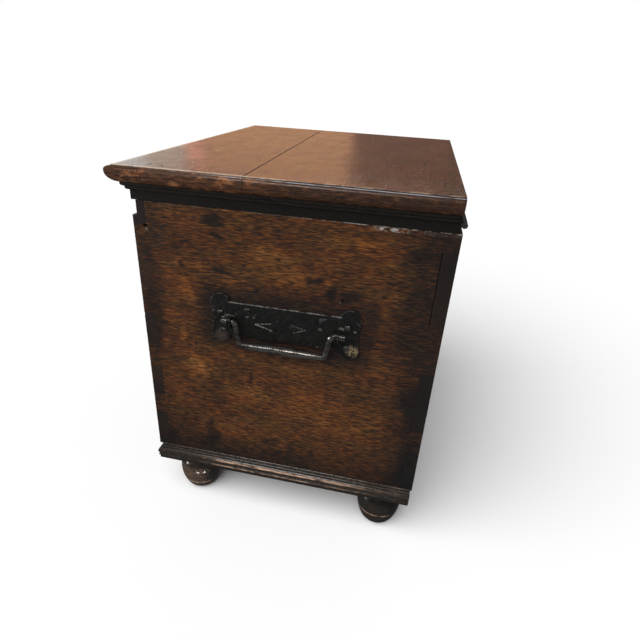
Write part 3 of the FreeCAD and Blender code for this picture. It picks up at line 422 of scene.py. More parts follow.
def grain(finish, axis, seed):
    """Bands, streaks and fibres about 0.5, dark to pale, and the pores."""
    bent = finish.wander(3.0, along_grain(axis, 60, 30), seed + 40)
    bands = finish.noise(along_grain(axis, 160, 13), seed, 2.0, 0.5, 0.3, at=bent)
    streaks = finish.noise(along_grain(axis, 34, 2.6), seed + 7, 2.0, 0.6, at=bent)
    fibres = finish.noise(along_grain(axis, 12, 1.35), seed + 13, 1.0, 0.5, at=bent)
    pores = finish.noise(along_grain(axis, 8, 1.5), seed + 19, 0.0, 0.5, at=bent).rise(0.61, 0.69)
    tone = bands * 0.10 + streaks * 0.32 + fibres * 0.80 - 0.11
    return tone, pores


def end_grain(finish, axis):
    """1 on the faces that cut across the grain."""
    return abs(finish.faces[AXES[axis]]).rise(0.6, 0.8)


def oak(
    name, axis, seed, shift=0.0, marks=None, rough=0.45, edge=0.9,
    ramps=(OAK, RED_OAK), level=0.2, calm=1.0, chips=None,
):
    """A board of old oak. Marks are given the finish, and return how the tone shifts. Chips are
    given the finish and its colour, and return a new colour. Edge is how far the arris is
    rounded, level how much the wax mirrors, and calm below 1 evens out the grain."""
    finish = Finish(name, Specular_IOR_Level=level)
    tone, pores = grain(finish, axis, seed)
    broad = finish.noise((60, 60, 60), seed + 3, 3.0, 0.6)
    tone = (tone - 0.5) * calm + 0.5 + (broad - 0.5) * 0.25 + shift
    relief = tone * 0.25 - pores * 0.12
    if marks:
        tone = tone + marks(finish)
    across = end_grain(finish, axis)
    tone = tone - pores * 0.16 * (1 - across) - across * 0.27
    hue = finish.noise(along_grain(axis, 60, 16), seed + 25, 4.0, 0.65).rise(0.36, 0.64)
    colour = finish.blend(hue, finish.tones(tone, ramps[0]), finish.tones(tone, ramps[1]))
    if chips:
        colour = chips(finish, colour)
    rough = rough + (finish.noise((45, 45, 45), seed + 5, 4.0) - 0.5) * 0.3 + across * 0.12
    return finish.done(relief, edge, Base_Color=colour, Roughness=rough)


print("oak from", OAK[0][1], "to", OAK[-1][1])

# %% [markdown]
# ### The right-hand end
#
# This is the face that the picture shows best. Orange wood glows where hands and polish
# reached, the corners and the foot of the board are nearly black, and smoke has gathered round
# the iron. Each spot is a soft oval with a wandering edge, placed where the picture has it.

# %% Spots of the right-hand end
# Each spot: y and z of its middle, its half sizes along y and z, in millimetres, its strength.
GLOWS = [
    (-133, 388, 12, 9, 0.22), (-126, 352, 17, 26, 0.18), (-133, 289, 12, 22, 0.18),
    (-114, 240, 32, 26, 0.22), (-13, 410, 46, 26, 0.15), (13, 392, 42, 18, 0.15),
    (57, 389, 13, 6, 0.14), (22, 257, 50, 20, 0.08), (40, 190, 60, 40, 0.05),
    (-47, 207, 52, 24, 0.14), (65, 175, 34, 18, 0.12), (143, 380, 14, 9, 0.14),
    (30, 200, 90, 40, 0.10), (80, 440, 70, 14, 0.10),
]
SMOKE = [
    (-85, 447, 17, 12, 0.34), (-85, 429, 19, 6, 0.36), (-80, 387, 17, 6, 0.32),
    (-131, 385, 7, 7, 0.30), (41, 390, 15, 6, 0.36), (155, 431, 34, 18, 0.15),
    (84, 371, 26, 13, 0.36), (62, 372, 12, 17, 0.42), (108, 325, 30, 60, 0.24),
    (80, 371, 12, 14, 0.22), (-138, 134, 46, 46, 0.13), (-39, 233, 4, 22, 0.22),
    (-14, 130, 18, 12, 0.14), (18, 115, 8, 24, 0.12), (-172, 330, 12, 130, 0.14),
    (186, 130, 20, 56, 0.34), (-110, 110, 30, 22, 0.16), (-172, 110, 30, 26, 0.15),
    (-100, 120, 12, 44, 0.26), (176, 230, 12, 70, 0.20), (150, 330, 40, 60, 0.12),
    (-120, 420, 30, 20, 0.06), (-158, 425, 26, 40, 0.10),
]
END_FACE = 250
PLATE_MIDDLE = (5.5, 322)


def end_board_marks(finish):
    """Glow and smoke on the end, and the dark along its foot and towards its front and back edges."""
    bent = finish.wander(26.0, (34, 34, 34), 3.1)
    glow = finish.patches(bent, [((0, y, z), (math.inf, ry, rz), s) for y, z, ry, rz, s in GLOWS])
    smoke = finish.patches(bent, [((0, y, z), (math.inf, ry, rz), s) for y, z, ry, rz, s in SMOKE])
    _, y, z = finish.parts(bent)
    aside, above = y - PLATE_MIDDLE[0], z - PLATE_MIDDLE[1]
    halo = abs(aside).rise(128, 98) * abs(above).rise(58, 28) * 0.24
    foot = z.rise(140, 84) * 0.24
    sides = aside.rise(120, 185) * 0.20 + aside.rise(-150, -195) * 0.12
    return glow * 0.9 - smoke.most(halo) - foot - sides + 0.04


def bare_wood(finish, colour):
    """The top edge is broken to bare pale wood near the back, and worn to a thin pale line. Of the
    two pale specks, one is a painted glint beside the nail hole above the handle, one a pale chip.
    """
    broken = finish.z.rise(455.0, 457.0) * finish.x.rise(246.5, 248)
    broken = broken * finish.y.rise(98, 112) * (finish.y.rise(144, 134) * 0.9 + 0.1)
    broken = broken * finish.noise((12, 7, 3.4), 6.0, 3.0, 0.65).rise(0.44, 0.56)
    lighter_patches = finish.z.rise(459.8, 460.7) * finish.noise((14, 14, 14), 8.0, 3.0).rise(0.42, 0.58)
    lighter_patches = lighter_patches * (finish.y.rise(-20, 90) * 0.75 + 0.25) * finish.x.rise(247.6, 248.6)
    tone = finish.noise((6, 6, 1.6), 9.0, 3.0, 0.7)
    pale = finish.tones(tone, [
        (0.3, (0.05, 0.045, 0.04)), (0.5, (0.20, 0.18, 0.16)), (0.7, (0.45, 0.43, 0.40)),
    ])
    # The first speck is a painted glint beside a nail hole; the second is a pale chip by the front corner.
    specks = [
        ((END_FACE, 73.4, 363.4), (math.inf, 1.5, 1.3), 0.35),
        ((END_FACE, -171.0, 427.2), (math.inf, 2.6, 1.8), 0.8),
    ]
    glint_and_chip_specks = finish.patches(finish.at, specks) * finish.x.rise(249.2, 249.5)
    return finish.blend(broken.most(lighter_patches * 0.8).most(glint_and_chip_specks), colour, pale)


material_of = {}
material_of["right_end_board"] = oak(
    "oak_right_end", "y", 11.0, -0.03, end_board_marks, 0.5, 1.2, level=0.15, chips=bare_wood,
)
print(len(GLOWS), "glows and", len(SMOKE), "dark spots")

# %% [markdown]
# ### The lid
#
# Two boards, polished by centuries of hands. The polish is fine enough to mirror the room, so
# its roughness is low and uneven. The flat is painted pale along its rim, then comes the quirk,
# painted black for dirt and shade, then the thumb moulding, brown and orange, with a painted
# bluish highlight along its crest. The joint between the boards runs a little aslant, so its
# line is drawn on y less a share of x.

# %% The lid's finish
LID = [
    (0.0, (0.014, 0.0085, 0.006)),
    (0.3, (0.046, 0.0190, 0.0095)),
    (0.5, (0.108, 0.0400, 0.0155)),
    (0.72, (0.18, 0.070, 0.025)),
    (1.0, (0.34, 0.18, 0.085)),
]
FIELD_X, FIELD_Y = 262.4, 199.85  # half the length of the flat, and its front edge
JOINT_SLANT, JOINT_Y = 0.02996, -49.9
# Each spot: x and y of its middle, its half sizes, and how much paler or darker it is.
LID_SPOTS = [
    (240, -163, 6, 2.2, -0.4), (247, -144, 5, 2.0, -0.4), (150, -165, 12, 20, -0.05),
    (61, -187, 26, 12, 0.14), (-46, -111, 110, 60, 0.06), (123, -11, 110, 50, 0.05),
    (49, 120, 120, 60, -0.07), (60, 150, 26, 10, -0.12), (-150, 120, 120, 70, -0.04),
    (250, 60, 16, 130, 0.08),
]
PAINT_SPECKS = [(150, -167), (-196, -135), (103, -134), (206, -125)]


def lid_finish(name, seed):
    """A lid board: polished field, pale rim, a quirk painted black for dirt and shade, and a
    brown thumb moulding with a painted highlight along its crest.
    """
    finish = Finish(name, Specular_IOR_Level=0.5)
    tone, pores = grain(finish, "x", seed)
    end_tone, _ = grain(finish, "y", seed + 80)
    x, y, z = abs(finish.x), finish.y, finish.z
    forward = 0 - y
    thumb = x.rise(FIELD_X - 0.2, FIELD_X + 0.3).most(forward.rise(FIELD_Y - 0.3, FIELD_Y + 0.3))
    thumb = thumb.most(z.rise(501.5, 501.0)) * z.rise(482.5, 483.0)
    at_end = x.rise(256.0, 257.0)
    bent = finish.wander(22.0, (40, 40, 40), seed + 2)
    for mx, my, rx, ry, s in LID_SPOTS:
        at = bent if rx > 10 else finish.at
        tone = tone + finish.patch(at, (mx, my, 0), (rx, ry, math.inf), 0.9) * s
    broad = finish.noise((70, 45, 70), seed + 3, 3.0, 0.6)
    tone = tone + (broad - 0.5) * 0.25 - pores * 0.12

    # The thumb moulding: brown, with orange where it is rubbed, most on its front half.
    lighter_patches = finish.noise((40, 16, 12), seed + 21, 3.0, 0.6).rise(0.46, 0.62)
    front_half = y.rise(30, -40)
    brown = (end_tone - 0.5) * 1.1 * at_end + (tone - 0.5) * (1 - at_end) + 0.20
    brown = brown + front_half * 0.12 + lighter_patches * (0.08 + front_half * 0.26)
    pale = finish.noise((18, 9, 6), seed + 71, 3.0, 0.7).rise(0.54, 0.66)
    brown = brown + pale * y.rise(90, 120) * 0.14
    tone = tone + thumb * (brown - tone)
    colour = finish.tones(tone, LID)

    # Dust near the back corner, the worn joint, and specks of old paint.
    dust = finish.patch(bent, (245, 120, 0), (70, 110, math.inf), 0.4) * (1 - thumb)
    dust = dust * finish.noise((9, 9, 9), seed + 61, 4.0, 0.7).rise(0.40, 0.62)
    colour = finish.blend(dust * 0.24, colour, (0.22, 0.17, 0.14))
    seam = finish.line(y - finish.x * JOINT_SLANT, JOINT_Y, 1.1) * (1 - thumb)
    colour = finish.blend(seam * (finish.x.rise(-260, -60) * 0.4 + 0.5), colour, (0.008, 0.006, 0.005))
    specks = finish.noise((4.5, 2.4, 3), seed + 31, 1.0).rise(0.74, 0.80) * (1 - thumb)
    paint = [((px, py, 0), (2.2, 1.5, math.inf), 1.0) for px, py in PAINT_SPECKS]
    specks = (specks * 0.5).most(finish.patches(finish.at, paint).rise(0.1, 0.6))
    colour = finish.blend(specks, colour, (0.55, 0.50, 0.44))

    # The rim of the field painted pale, most on the front half, the quirk painted black for dirt
    # and painted shade, and a painted bluish highlight along the crest of the round.
    rim = x.rise(FIELD_X - 5.5, FIELD_X - 3.0).most(forward.rise(FIELD_Y - 4.5, FIELD_Y - 2.5))
    rim = rim * z.rise(501.6, 501.8) * x.rise(263.2, 262.9)
    rim = rim * (front_half * 0.7 + finish.noise((16, 16, 16), seed + 23, 3.0).rise(0.40, 0.60) * 0.5)
    colour = finish.blend(rim, colour, (0.44, 0.33, 0.24))
    # Dirt and painted shade: the quirk is painted near black.
    quirk_dirt_and_shade = z.rise(501.75, 501.6) * z.rise(500.1, 500.5)
    quirk_dirt_and_shade = quirk_dirt_and_shade * x.rise(263.7, 263.3).least(forward.rise(201.2, 200.8))
    quirk_dirt_and_shade = quirk_dirt_and_shade * x.rise(262.0, 262.3).most(forward.rise(199.5, 199.8))
    colour = finish.blend(quirk_dirt_and_shade * (1 - front_half * 0.6) * 0.95, colour, (0.006, 0.006, 0.007))
    # A painted highlight: the crest of the thumb's round is painted bluish white on its back part.
    painted_crest_highlight = finish.line(x, 264.8, 1.5) * z.rise(499.4, 500.2) * y.rise(-110, -40)
    painted_crest_highlight = painted_crest_highlight * (finish.noise((8, 26, 8), seed + 73, 3.0, 0.65).rise(0.38, 0.54) * 0.8 + 0.2)
    colour = finish.blend(painted_crest_highlight * 0.8, colour, (0.40, 0.42, 0.47))

    cloudy = (finish.noise((38, 30, 38), seed + 5, 5.0, 0.65) - 0.5) * 0.34
    rough = 0.20 + cloudy + specks * 0.3 + thumb * 0.10 + seam * 0.5
    waves = finish.noise((60, 22, 60), seed + 55, 2.0) * 0.35
    dented = finish.noise((14, 14, 14), seed + 57, 2.0) * thumb * 0.35
    relief = tone * 0.16 - pores * 0.16 + waves + dented
    return finish.done(relief, 0.8, Base_Color=colour, Roughness=rough)


material_of["lid_board_front"] = lid_finish("oak_lid_front", 61.0)
material_of["lid_board_back"] = lid_finish("oak_lid_back", 67.0)
print("the lid is polished")

# %% [markdown]
# ### Mouldings and feet
#
# A moulding's hollows are painted dark, dirt and painted shade together, and the crests of its
# rounds carry painted highlights, most in the middle. The dark lines stand at the heights where
# the profile has its grooves. The strips under the lid are almost black, and below the reeds
# they are painted darker still: dark wood, with painted shade under the overhang. The feet are
# turned, so their grain runs up, and they shine like old leather; on each a painted highlight
# lies along the ring, and painted shade on the neck and on the side away from the light.

# %% The finishes of the mouldings and feet
GREY_OAK = [
    (0.0, (0.008, 0.007, 0.006)),
    (0.3, (0.017, 0.013, 0.0105)),
    (0.5, (0.040, 0.027, 0.020)),
    (0.72, (0.12, 0.072, 0.047)),
    (1.0, (0.42, 0.28, 0.195)),
]


def under_lid_dark_wood_and_shade(finish):
    """The fascia below the reeds is painted near black: dark wood, with painted shade under the overhang."""
    return 0 - finish.z.rise(473.4, 472.8) * 0.25


def plinth_highlights_and_shade(finish):
    """Dirt and painted shade in the grooves and painted shade along the underside, and painted
    highlights on the crests of the rounds and on the fillets, most in the middle.
    """
    z = finish.z
    # The grooves are painted dark: dirt and painted shade.
    groove_dirt_and_shade = finish.line(z, 74.2, 1.4).most(finish.line(z, 83.4, 0.9)).most(finish.line(z, 86.6, 0.8))
    middle = finish.y.rise(205, 40) * finish.y.rise(-145, -65)
    lighter_patches = finish.noise((22, 30, 22), 4.0, 3.0, 0.6).rise(0.38, 0.60)
    # Painted highlights on the crests of the rounds, strongest in the middle, broken by patches.
    painted_crest_highlight = finish.line(z, 80.6, 2.0) * (middle * 0.60 + 0.05)
    painted_crest_highlight = painted_crest_highlight + finish.line(z, 71.5, 1.6) * (middle * 0.46 + 0.05)
    # Painted highlights on the fillets, stronger towards the back.
    painted_fillet_highlights = (finish.line(z, 85.2, 0.9) + finish.line(z, 88.8, 1.0)) * (finish.y.rise(20, 170) * 0.16 + 0.10)
    # The strip along the underside is painted darker: painted shade.
    return (painted_crest_highlight + painted_fillet_highlights) * (lighter_patches * 0.6 + 0.4) - groove_dirt_and_shade * 0.38 - z.rise(68.4, 67.2) * 0.18


def foot_rings_and_painted_light(finish):
    """Fine rings from the lathe and pale flecks of wear, with a painted highlight along the turned
    ring and painted shade on the neck under the moulding and on the side away from the light.
    """
    rings = finish.noise((90, 90, 1.1), 12.0, 2.0, 0.6) - 0.5
    flecks = finish.noise((5, 5, 2), 5.0, 4.0, 0.7).rise(0.52, 0.70)
    # A painted highlight along the turned ring.
    lighter_patches = finish.line(finish.z - finish.y.rise(-20, 20) * 9, 17.5, 1.3)
    lighter_patches = lighter_patches * finish.noise((9, 9, 9), 15.0, 2.0).rise(0.36, 0.50)
    # Painted shade on the side of each foot away from the light.
    painted_far_side_shade = finish.y.rise(-124, -106) * finish.y.rise(20, 0) + finish.y.rise(165, 183)
    # The neck under the moulding is painted dark: painted shade.
    return rings * 0.7 + flecks * 0.14 + lighter_patches * 0.6 - finish.z.rise(42, 52) * 0.30 - painted_far_side_shade * 0.34


for name, axis, seed, shift, marks, rough, level, calm in (
    ("lid_front_moulding", "x", 71.0, -0.34, under_lid_dark_wood_and_shade, 0.55, 0.12, 0.6),
    ("lid_right_moulding", "y", 73.0, -0.29, under_lid_dark_wood_and_shade, 0.46, 0.2, 0.6),
    ("lid_left_moulding", "y", 75.0, -0.34, under_lid_dark_wood_and_shade, 0.55, 0.12, 0.6),
    ("stand_front_moulding", "x", 91.0, -0.08, plinth_highlights_and_shade, 0.26, 0.6, 0.6),
    ("stand_right_moulding", "y", 93.0, -0.15, plinth_highlights_and_shade, 0.22, 0.7, 0.6),
    ("stand_left_moulding", "y", 95.0, -0.08, plinth_highlights_and_shade, 0.26, 0.6, 0.6),
    ("front_right_foot", "z", 101.0, 0.08, foot_rings_and_painted_light, 0.20, 0.7, 0.2),
    # The back right foot is painted darker than the others: painted shade.
    ("back_right_foot", "z", 103.0, -0.24, foot_rings_and_painted_light, 0.26, 0.5, 0.3),
    ("front_left_foot", "z", 105.0, 0.04, foot_rings_and_painted_light, 0.22, 0.7, 0.3),
    ("back_left_foot", "z", 107.0, -0.06, foot_rings_and_painted_light, 0.26, 0.6, 0.3),
):
    ramps = (GREY_OAK, GREY_OAK)
    material_of[name] = oak(f"oak_{name}", axis, seed, shift, marks, rough, 0.5, ramps, level, calm)
print("mouldings and feet are waxed")

# %% [markdown]
# ### The other boards
#
# The front and back run the length of the box, so their grain does too, and their tails show
# as dark end grain at the corners. The inside never saw wax or soot: it is dry and paler.

# %% The other boards
def board_marks(finish):
    """Glow in the middle of a board, dark at its foot and towards its ends."""
    ends = abs(finish.x).rise(150, 250) * abs(finish.y - 5).rise(150, 186)
    glow = finish.noise((120, 120, 60), 14.0, 2.0).rise(0.45, 0.7) * 0.14
    return glow - finish.z.rise(150, 88) * 0.16 - ends * 0.12


for name, axis, seed, shift, marks in (
    ("front_board", "x", 21.0, 0.04, board_marks),
    ("back_board", "x", 31.0, -0.04, board_marks),
    ("left_end_board", "y", 41.0, 0.04, board_marks),
    ("bottom_board_front", "x", 51.0, 0.10, None),
    ("bottom_board_back", "x", 54.0, 0.08, None),
    ("lid_back_rail", "x", 77.0, -0.1, None),
    ("stand_front_rail", "x", 81.0, -0.06, None),
    ("stand_back_rail", "x", 83.0, -0.06, None),
    ("stand_right_rail", "y", 85.0, -0.06, None),
    ("stand_left_rail", "y", 87.0, -0.06, None),
):
    material_of[name] = oak(f"oak_{name}", axis, seed, shift, marks)
print(len(material_of), "oak finishes")

# %% [markdown]
# ## Black iron
#
# Forged iron keeps the marks of the hammer: shallow flats a few millimetres across. Scale and
# wax leave it black and dull, and it is bright only where cloth or hands rub it.

# %% Iron
def iron(name, seed, bright=0.3, marks=None, rub=0.5, rough=0.5, paler=1.0, metal=0.2):
    """Forged iron: black scale, with bare metal on its worn edges and on what stands proud."""
    finish = Finish(name, Specular_IOR_Level=0.4)
    scale = finish.noise((5, 5, 5), seed, 4.0, 0.65)
    fine = finish.noise((1.2, 1.2, 1.2), seed + 5, 2.0)
    patchy = finish.noise((9, 9, 9), seed + 9, 4.0, 0.7)
    bare = patchy.rise(0.62, 0.75) * bright
    bare = bare.most(finish.arris(1.0) * patchy.rise(0.42, 0.60) * rub)
    colour = finish.tones(scale, [
        (0.3, (0.006 * paler, 0.0062 * paler, 0.006 * paler)),
        (0.75, (0.017 * paler, 0.0168 * paler, 0.0155 * paler)),
    ])
    if marks:
        bare, colour = marks(finish, bare, colour)
    colour = finish.blend(bare, colour, (0.50, 0.49, 0.47))
    rough = rough + (scale - 0.5) * 0.3 - bare * 0.15
    relief = scale * 0.16 + fine * 0.04
    return finish.done(relief, 0.4, Base_Color=colour, Roughness=rough, Metallic=metal + bare * (1 - metal))


print("black iron is ready")

# %% [markdown]
# ### Struck plates and rubbed handles
#
# Each plate has two chevrons struck with a chisel, and their grooves show a little bright
# metal. Its upper edge is rubbed, and yellow rust sits in one lower lobe. Hands have kept the
# grip and the tops of its legs bare, brown with old wax.

# %% Marks on the plates and the bails
# Each stroke: its two ends as (y, z).
CHEVRONS = [
    ((-32, 319.8), (-9.5, 313.5)),
    ((-32, 319.8), (-11, 323.5)),
    ((33, 321), (14.5, 326)),
    ((33, 321), (17.5, 315)),
]
SCRATCHED = (0.36, 0.26, 0.08, 0.16)  # how bright each stroke shows


def plate_marks():
    """Bare metal on a plate's upper edges and by its eyes, and yellow rust in its lower lobes."""
    glints = [
        (-75, 323, 2.5, 2, 0.9), (-42, 328, 4, 2, 0.28), (-34, 328, 3, 2, 0.25),
        (56, 340, 5, 1.4, 0.22), (52, 325, 4, 3, 0.18), (86, 332, 3.5, 2, 0.8),
        (96, 328, 2.5, 1.6, 0.9), (-66, 326, 9, 3, 0.6), (79, 330, 8, 2.2, 0.5),
    ]

    def marks(finish, bare, colour):
        bent = finish.wander(2.6, (3.5, 3.5, 3.5), 9.0)
        spots = [((0, y, z), (math.inf, ry, rz), s) for y, z, ry, rz, s in glints]
        bare = bare.most(finish.patches(bent, spots) * finish.noise((2, 2, 2), 5.5).rise(0.38, 0.55))
        edge = finish.line(finish.z, 345.3, 0.9) * abs(finish.y - 5.5).rise(74, 70)
        bare = bare.most(edge * finish.noise((9, 9, 9), 7.5, 3.0).rise(0.40, 0.60) * 0.4)
        for (start, end), strong in zip(CHEVRONS, SCRATCHED):
            scratch = finish.stroke((start[0], start[1] - 0.7), (end[0], end[1] - 0.7), 0.7)
            bare = bare.most(scratch * finish.noise((3, 3, 3), 11.5, 2.0).rise(0.34, 0.56) * strong)
        rust = finish.patch(bent, (0, 94, 301), (math.inf, 11, 10), 0.5)
        rust = rust * finish.noise((3, 3, 3), 3.5, 3.0).rise(0.36, 0.56)
        colour = finish.blend(rust * 0.8, colour, (0.20, 0.145, 0.075))
        brown = finish.patch(bent, (0, -78, 297), (math.inf, 12, 12), 0.6)
        return bare, finish.blend(brown * 0.75, colour, (0.045, 0.030, 0.022))

    return marks


def bail_marks(finish, bare, colour):
    """The grip and the tops of the legs are rubbed to bare metal, brown with old wax."""
    hands = finish.noise((5, 20, 5), 6.5, 2.0).rise(0.36, 0.60)
    grip = finish.line(finish.z, 290, 9) * 0.5 + finish.line(finish.z, 319, 6)
    return bare.most(hands * grip) * 0.50, finish.blend(0.4 + hands * 0.4, colour, (0.16, 0.146, 0.137))


print(len(CHEVRONS), "strokes on each plate")

# %% [markdown]
# ### Every iron piece
#
# The bails and eyes rub in each other, so they are smoother and barer than the rest. The
# hinges are a paler grey, as the little that shows of one in the picture is.

# %% Give each iron piece its finish
IRON = sorted(name for name in nodes if name not in material_of)
for index, name in enumerate(IRON):
    marks = plate_marks() if "plate" in name and "nails" not in name else None
    marks = bail_marks if "bail" in name else marks
    rough = 0.22 if "bail" in name or "eye" in name else 0.46
    paler = 4.0 if "hinge" in name else 0.75
    metal = 0.85 if "bail" in name else 0.45 if "eye" in name else 0.2
    rub = 0.9 if "eye" in name or "bail" in name else 0.45
    material_of[name] = iron(f"iron_{name}", 200.0 + index * 3, 0.25, marks, rub, rough, paler, metal)
print(len(IRON), "iron finishes")

# %% [markdown]
# ## Work on the pieces
#
# A solid from the model has edges as sharp as a drawing. Where the picture shows chips, hammer
# marks or a turned ring, the piece is copied from its solid, worked, and takes its place.

# %% Take a copy of a solid
record = frame["record"]
body_of = {name: body for body, names in record["behaviour"]["bodies"].items() for name in names}


def pick(thing):
    """This piece alone is selected and active."""
    clear_choice()
    thing.select_set(True)
    bpy.context.view_layer.objects.active = thing


def work_copy(node):
    """A copy of a solid, with its loose triangles joined and its flats made whole."""
    piece = bpy.data.objects.new(f"worked_{node}", nodes[node].data.copy())
    bpy.context.scene.collection.objects.link(piece)
    pick(piece)
    bpy.ops.mesh.customdata_custom_splitnormals_clear()
    bpy.ops.object.mode_set(mode="EDIT")
    bpy.ops.mesh.select_all(action="SELECT")
    bpy.ops.mesh.remove_doubles(threshold=0.001 * MM)
    bpy.ops.mesh.dissolve_limited(angle_limit=math.radians(0.5))
    bpy.ops.object.mode_set(mode="OBJECT")
    return piece


def stands_for(piece, node, smooth=35):
    """The piece takes a solid's place, its finish and its body."""
    pick(piece)
    bpy.ops.object.shade_smooth_by_angle(angle=math.radians(smooth))
    finish_modifier(piece, "even_shade", "WEIGHTED_NORMAL", keep_sharp=True)
    piece.data.materials.clear()
    piece.data.materials.append(material_of[node])
    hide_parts(node)
    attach(piece, body_of[node])
    print(piece.name, len(piece.data.polygons), "faces")


def finish_modifier(piece, name, kind, **settings):
    """Add a modifier and apply it."""
    pick(piece)
    modifier = piece.modifiers.new(name, kind)
    for key, value in settings.items():
        setattr(modifier, key, value)
    bpy.ops.object.modifier_apply(modifier=modifier.name)


def freeze(thing):
    """Put a piece's place, turn and size into its mesh."""
    pick(thing)
    bpy.ops.object.transform_apply(location=True, rotation=True, scale=True)


def join(things, name):
    pick(things[0])
    for each in things:
        each.select_set(True)
    bpy.ops.object.join()
    things[0].name = name
    return things[0]


def cut_away(piece, cutter):
    """Cut the shape of one mesh out of another."""
    settings = {"operation": "DIFFERENCE", "solver": "EXACT", "use_self": True, "object": cutter}
    finish_modifier(piece, "cut", "BOOLEAN", **settings)
    bpy.data.objects.remove(cutter)


# %% [markdown]
# ### Chips
#
# Wood breaks off an edge in short splinters, longer along the grain than across it. Each chip
# is a pebble: a small ball, stretched along the edge, turned a little and knocked out of round.
# All the pebbles are cut from the board at once.

# %% Chip an edge
def pebbles(places, seed):
    """Rough pebbles, joined as one cutter. A place is its middle and its half sizes, in mm."""
    chance = random.Random(seed)
    made = []
    for x, y, z, rx, ry, rz in places:
        clear_choice()
        bpy.ops.mesh.primitive_ico_sphere_add(subdivisions=2, radius=MM, location=(x * MM, y * MM, z * MM))
        pebble = bpy.context.object
        for corner in pebble.data.vertices:
            corner.co *= chance.uniform(0.82, 1.12)
        pebble.scale = (rx, ry, rz)
        pebble.rotation_euler = [chance.uniform(-0.25, 0.25) for _ in range(3)]
        freeze(pebble)
        made.append(pebble)
    return join(made, "pebbles")


def chips_along(start, end, count, sizes, seed):
    """Places for chips along an edge, crowded and single by turns."""
    chance = random.Random(seed)
    for _ in range(count):
        share = chance.random()
        middle = [a + (b - a) * share for a, b in zip(start, end)]
        grow = chance.uniform(0.5, 1.2)
        yield (*middle, *(each * grow for each in sizes))


print("the pebbles are ready")

# %% [markdown]
# ### The two end boards
#
# The top edge is chipped, most of all near the back. Two lost nails have left their holes, one
# above the handle and one by the front corner. Near the back corner the joint has opened to a
# narrow dark gap, cut here with a thin block.

# %% Chip the end boards
TOP_EDGE = 461.3  # just above the top of the boards, so that a chip bites only their edge
for side, node in ((1, "right_end_board"), (-1, "left_end_board")):
    board = work_copy(node)
    face, edge = END_FACE * side, (END_FACE + 0.3) * side
    chips = list(chips_along((edge, 110, TOP_EDGE), (edge, 136, TOP_EDGE), 7, (2.0, 5.0, 2.6), 3 + side))
    chips += chips_along((edge, 136, TOP_EDGE), (edge, 197, TOP_EDGE), 9, (1.4, 5.0, 1.5), 13 + side)
    chips += chips_along((edge, -180, TOP_EDGE), (edge, 110, TOP_EDGE), 12, (1.0, 4.0, 1.0), 23 + side)
    chips += [(face, 77, 366.4, 4.0, 1.7, 1.6), (face, -171.6, 431.3, 5.0, 3.4, 1.9)]
    cut_away(board, pebbles(chips, 5 + side))
    clear_choice()
    bpy.ops.mesh.primitive_cube_add(size=MM, location=(248 * side * MM, 181.2 * MM, 393 * MM))
    gap = bpy.context.object
    gap.scale = (8, 0.9, 92)
    freeze(gap)
    cut_away(board, gap)
    stands_for(board, node)

# %% [markdown]
# ### Rim of the lid
#
# The rim of the field is nicked all round, and two small gouges lie by the near corner. The
# thumb moulding has lost splinters too.

# %% Nick the lid
LID_TOP = 502.6  # just above the flat of the lid
for node, low, high in (("lid_board_front", -198, -52), ("lid_board_back", -40, 192)):
    board = work_copy(node)
    nicks = []
    for side in (1, -1):
        rim, nose = 262.8 * side, 269.0 * side
        nicks += chips_along((rim, low, LID_TOP), (rim, high, LID_TOP), 9, (0.9, 4.5, 0.7), 31 + side)
        nicks += chips_along((nose, low, 495), (nose, high, 495), 6, (0.7, 5.0, 1.4), 37 + side)
    if node == "lid_board_front":
        nicks += [(240, -163, LID_TOP, 5.0, 1.3, 0.9), (247, -145, LID_TOP, 3.6, 1.2, 0.9)]
        nicks += [(235, -157, LID_TOP - 0.1, 3.0, 0.8, 0.6)]
        nicks += chips_along((-250, -200.2, LID_TOP), (250, -200.2, LID_TOP), 16, (5.0, 0.9, 0.7), 43)
    clear_choice()
    bpy.ops.mesh.primitive_cube_add(size=MM, location=(0, -49.85 * MM, LID_TOP * MM))
    groove = bpy.context.object
    groove.scale = (523, 1.4, 1.4)
    groove.rotation_euler = (math.radians(45), 0, math.atan2(16, 534))
    freeze(groove)
    cut_away(board, join([pebbles(nicks, 47), groove], "nicks_and_groove"))
    stands_for(board, node)

# %% [markdown]
# ### Nail holes in the corner
#
# An old nail has gone from the top of the front corner and left its hole, with a splinter
# broken away below it.

# %% Bore the lost nail's hole
board = work_copy("front_board")
holes = [(250, -172.6, 431.5, 7.0, 2.3, 2.2), (250.2, -172.9, 427.2, 1.0, 2.6, 2.4)]
holes += chips_along((250.4, -187.6, 100), (250.4, -187.6, 440), 8, (1.0, 1.2, 6.0), 53)
cut_away(board, pebbles(holes, 59))
stands_for(board, "front_board")

# %% [markdown]
# ## The feet
#
# A bun foot is turned on a lathe from a block: a flat tread, a low ring, the full round, a neck
# and a collar. Here the turning is a disc drawn up step by step: each step is pulled up and
# made wider or narrower, as the gouge would. The ring is a fine cut near the tread.

# %% Turn one foot
FOOT_RADIUS, FOOT_TALL = 32.4, 64.0
WIDEST_AT = FOOT_TALL * 0.54


def bun_radius(height):
    """The radius of the bun at a height: a long round below its widest line, a short one above."""
    bend = (1.775 if height < WIDEST_AT else 0.946) * FOOT_RADIUS
    return FOOT_RADIUS - bend + math.sqrt(bend**2 - (height - WIDEST_AT) ** 2)


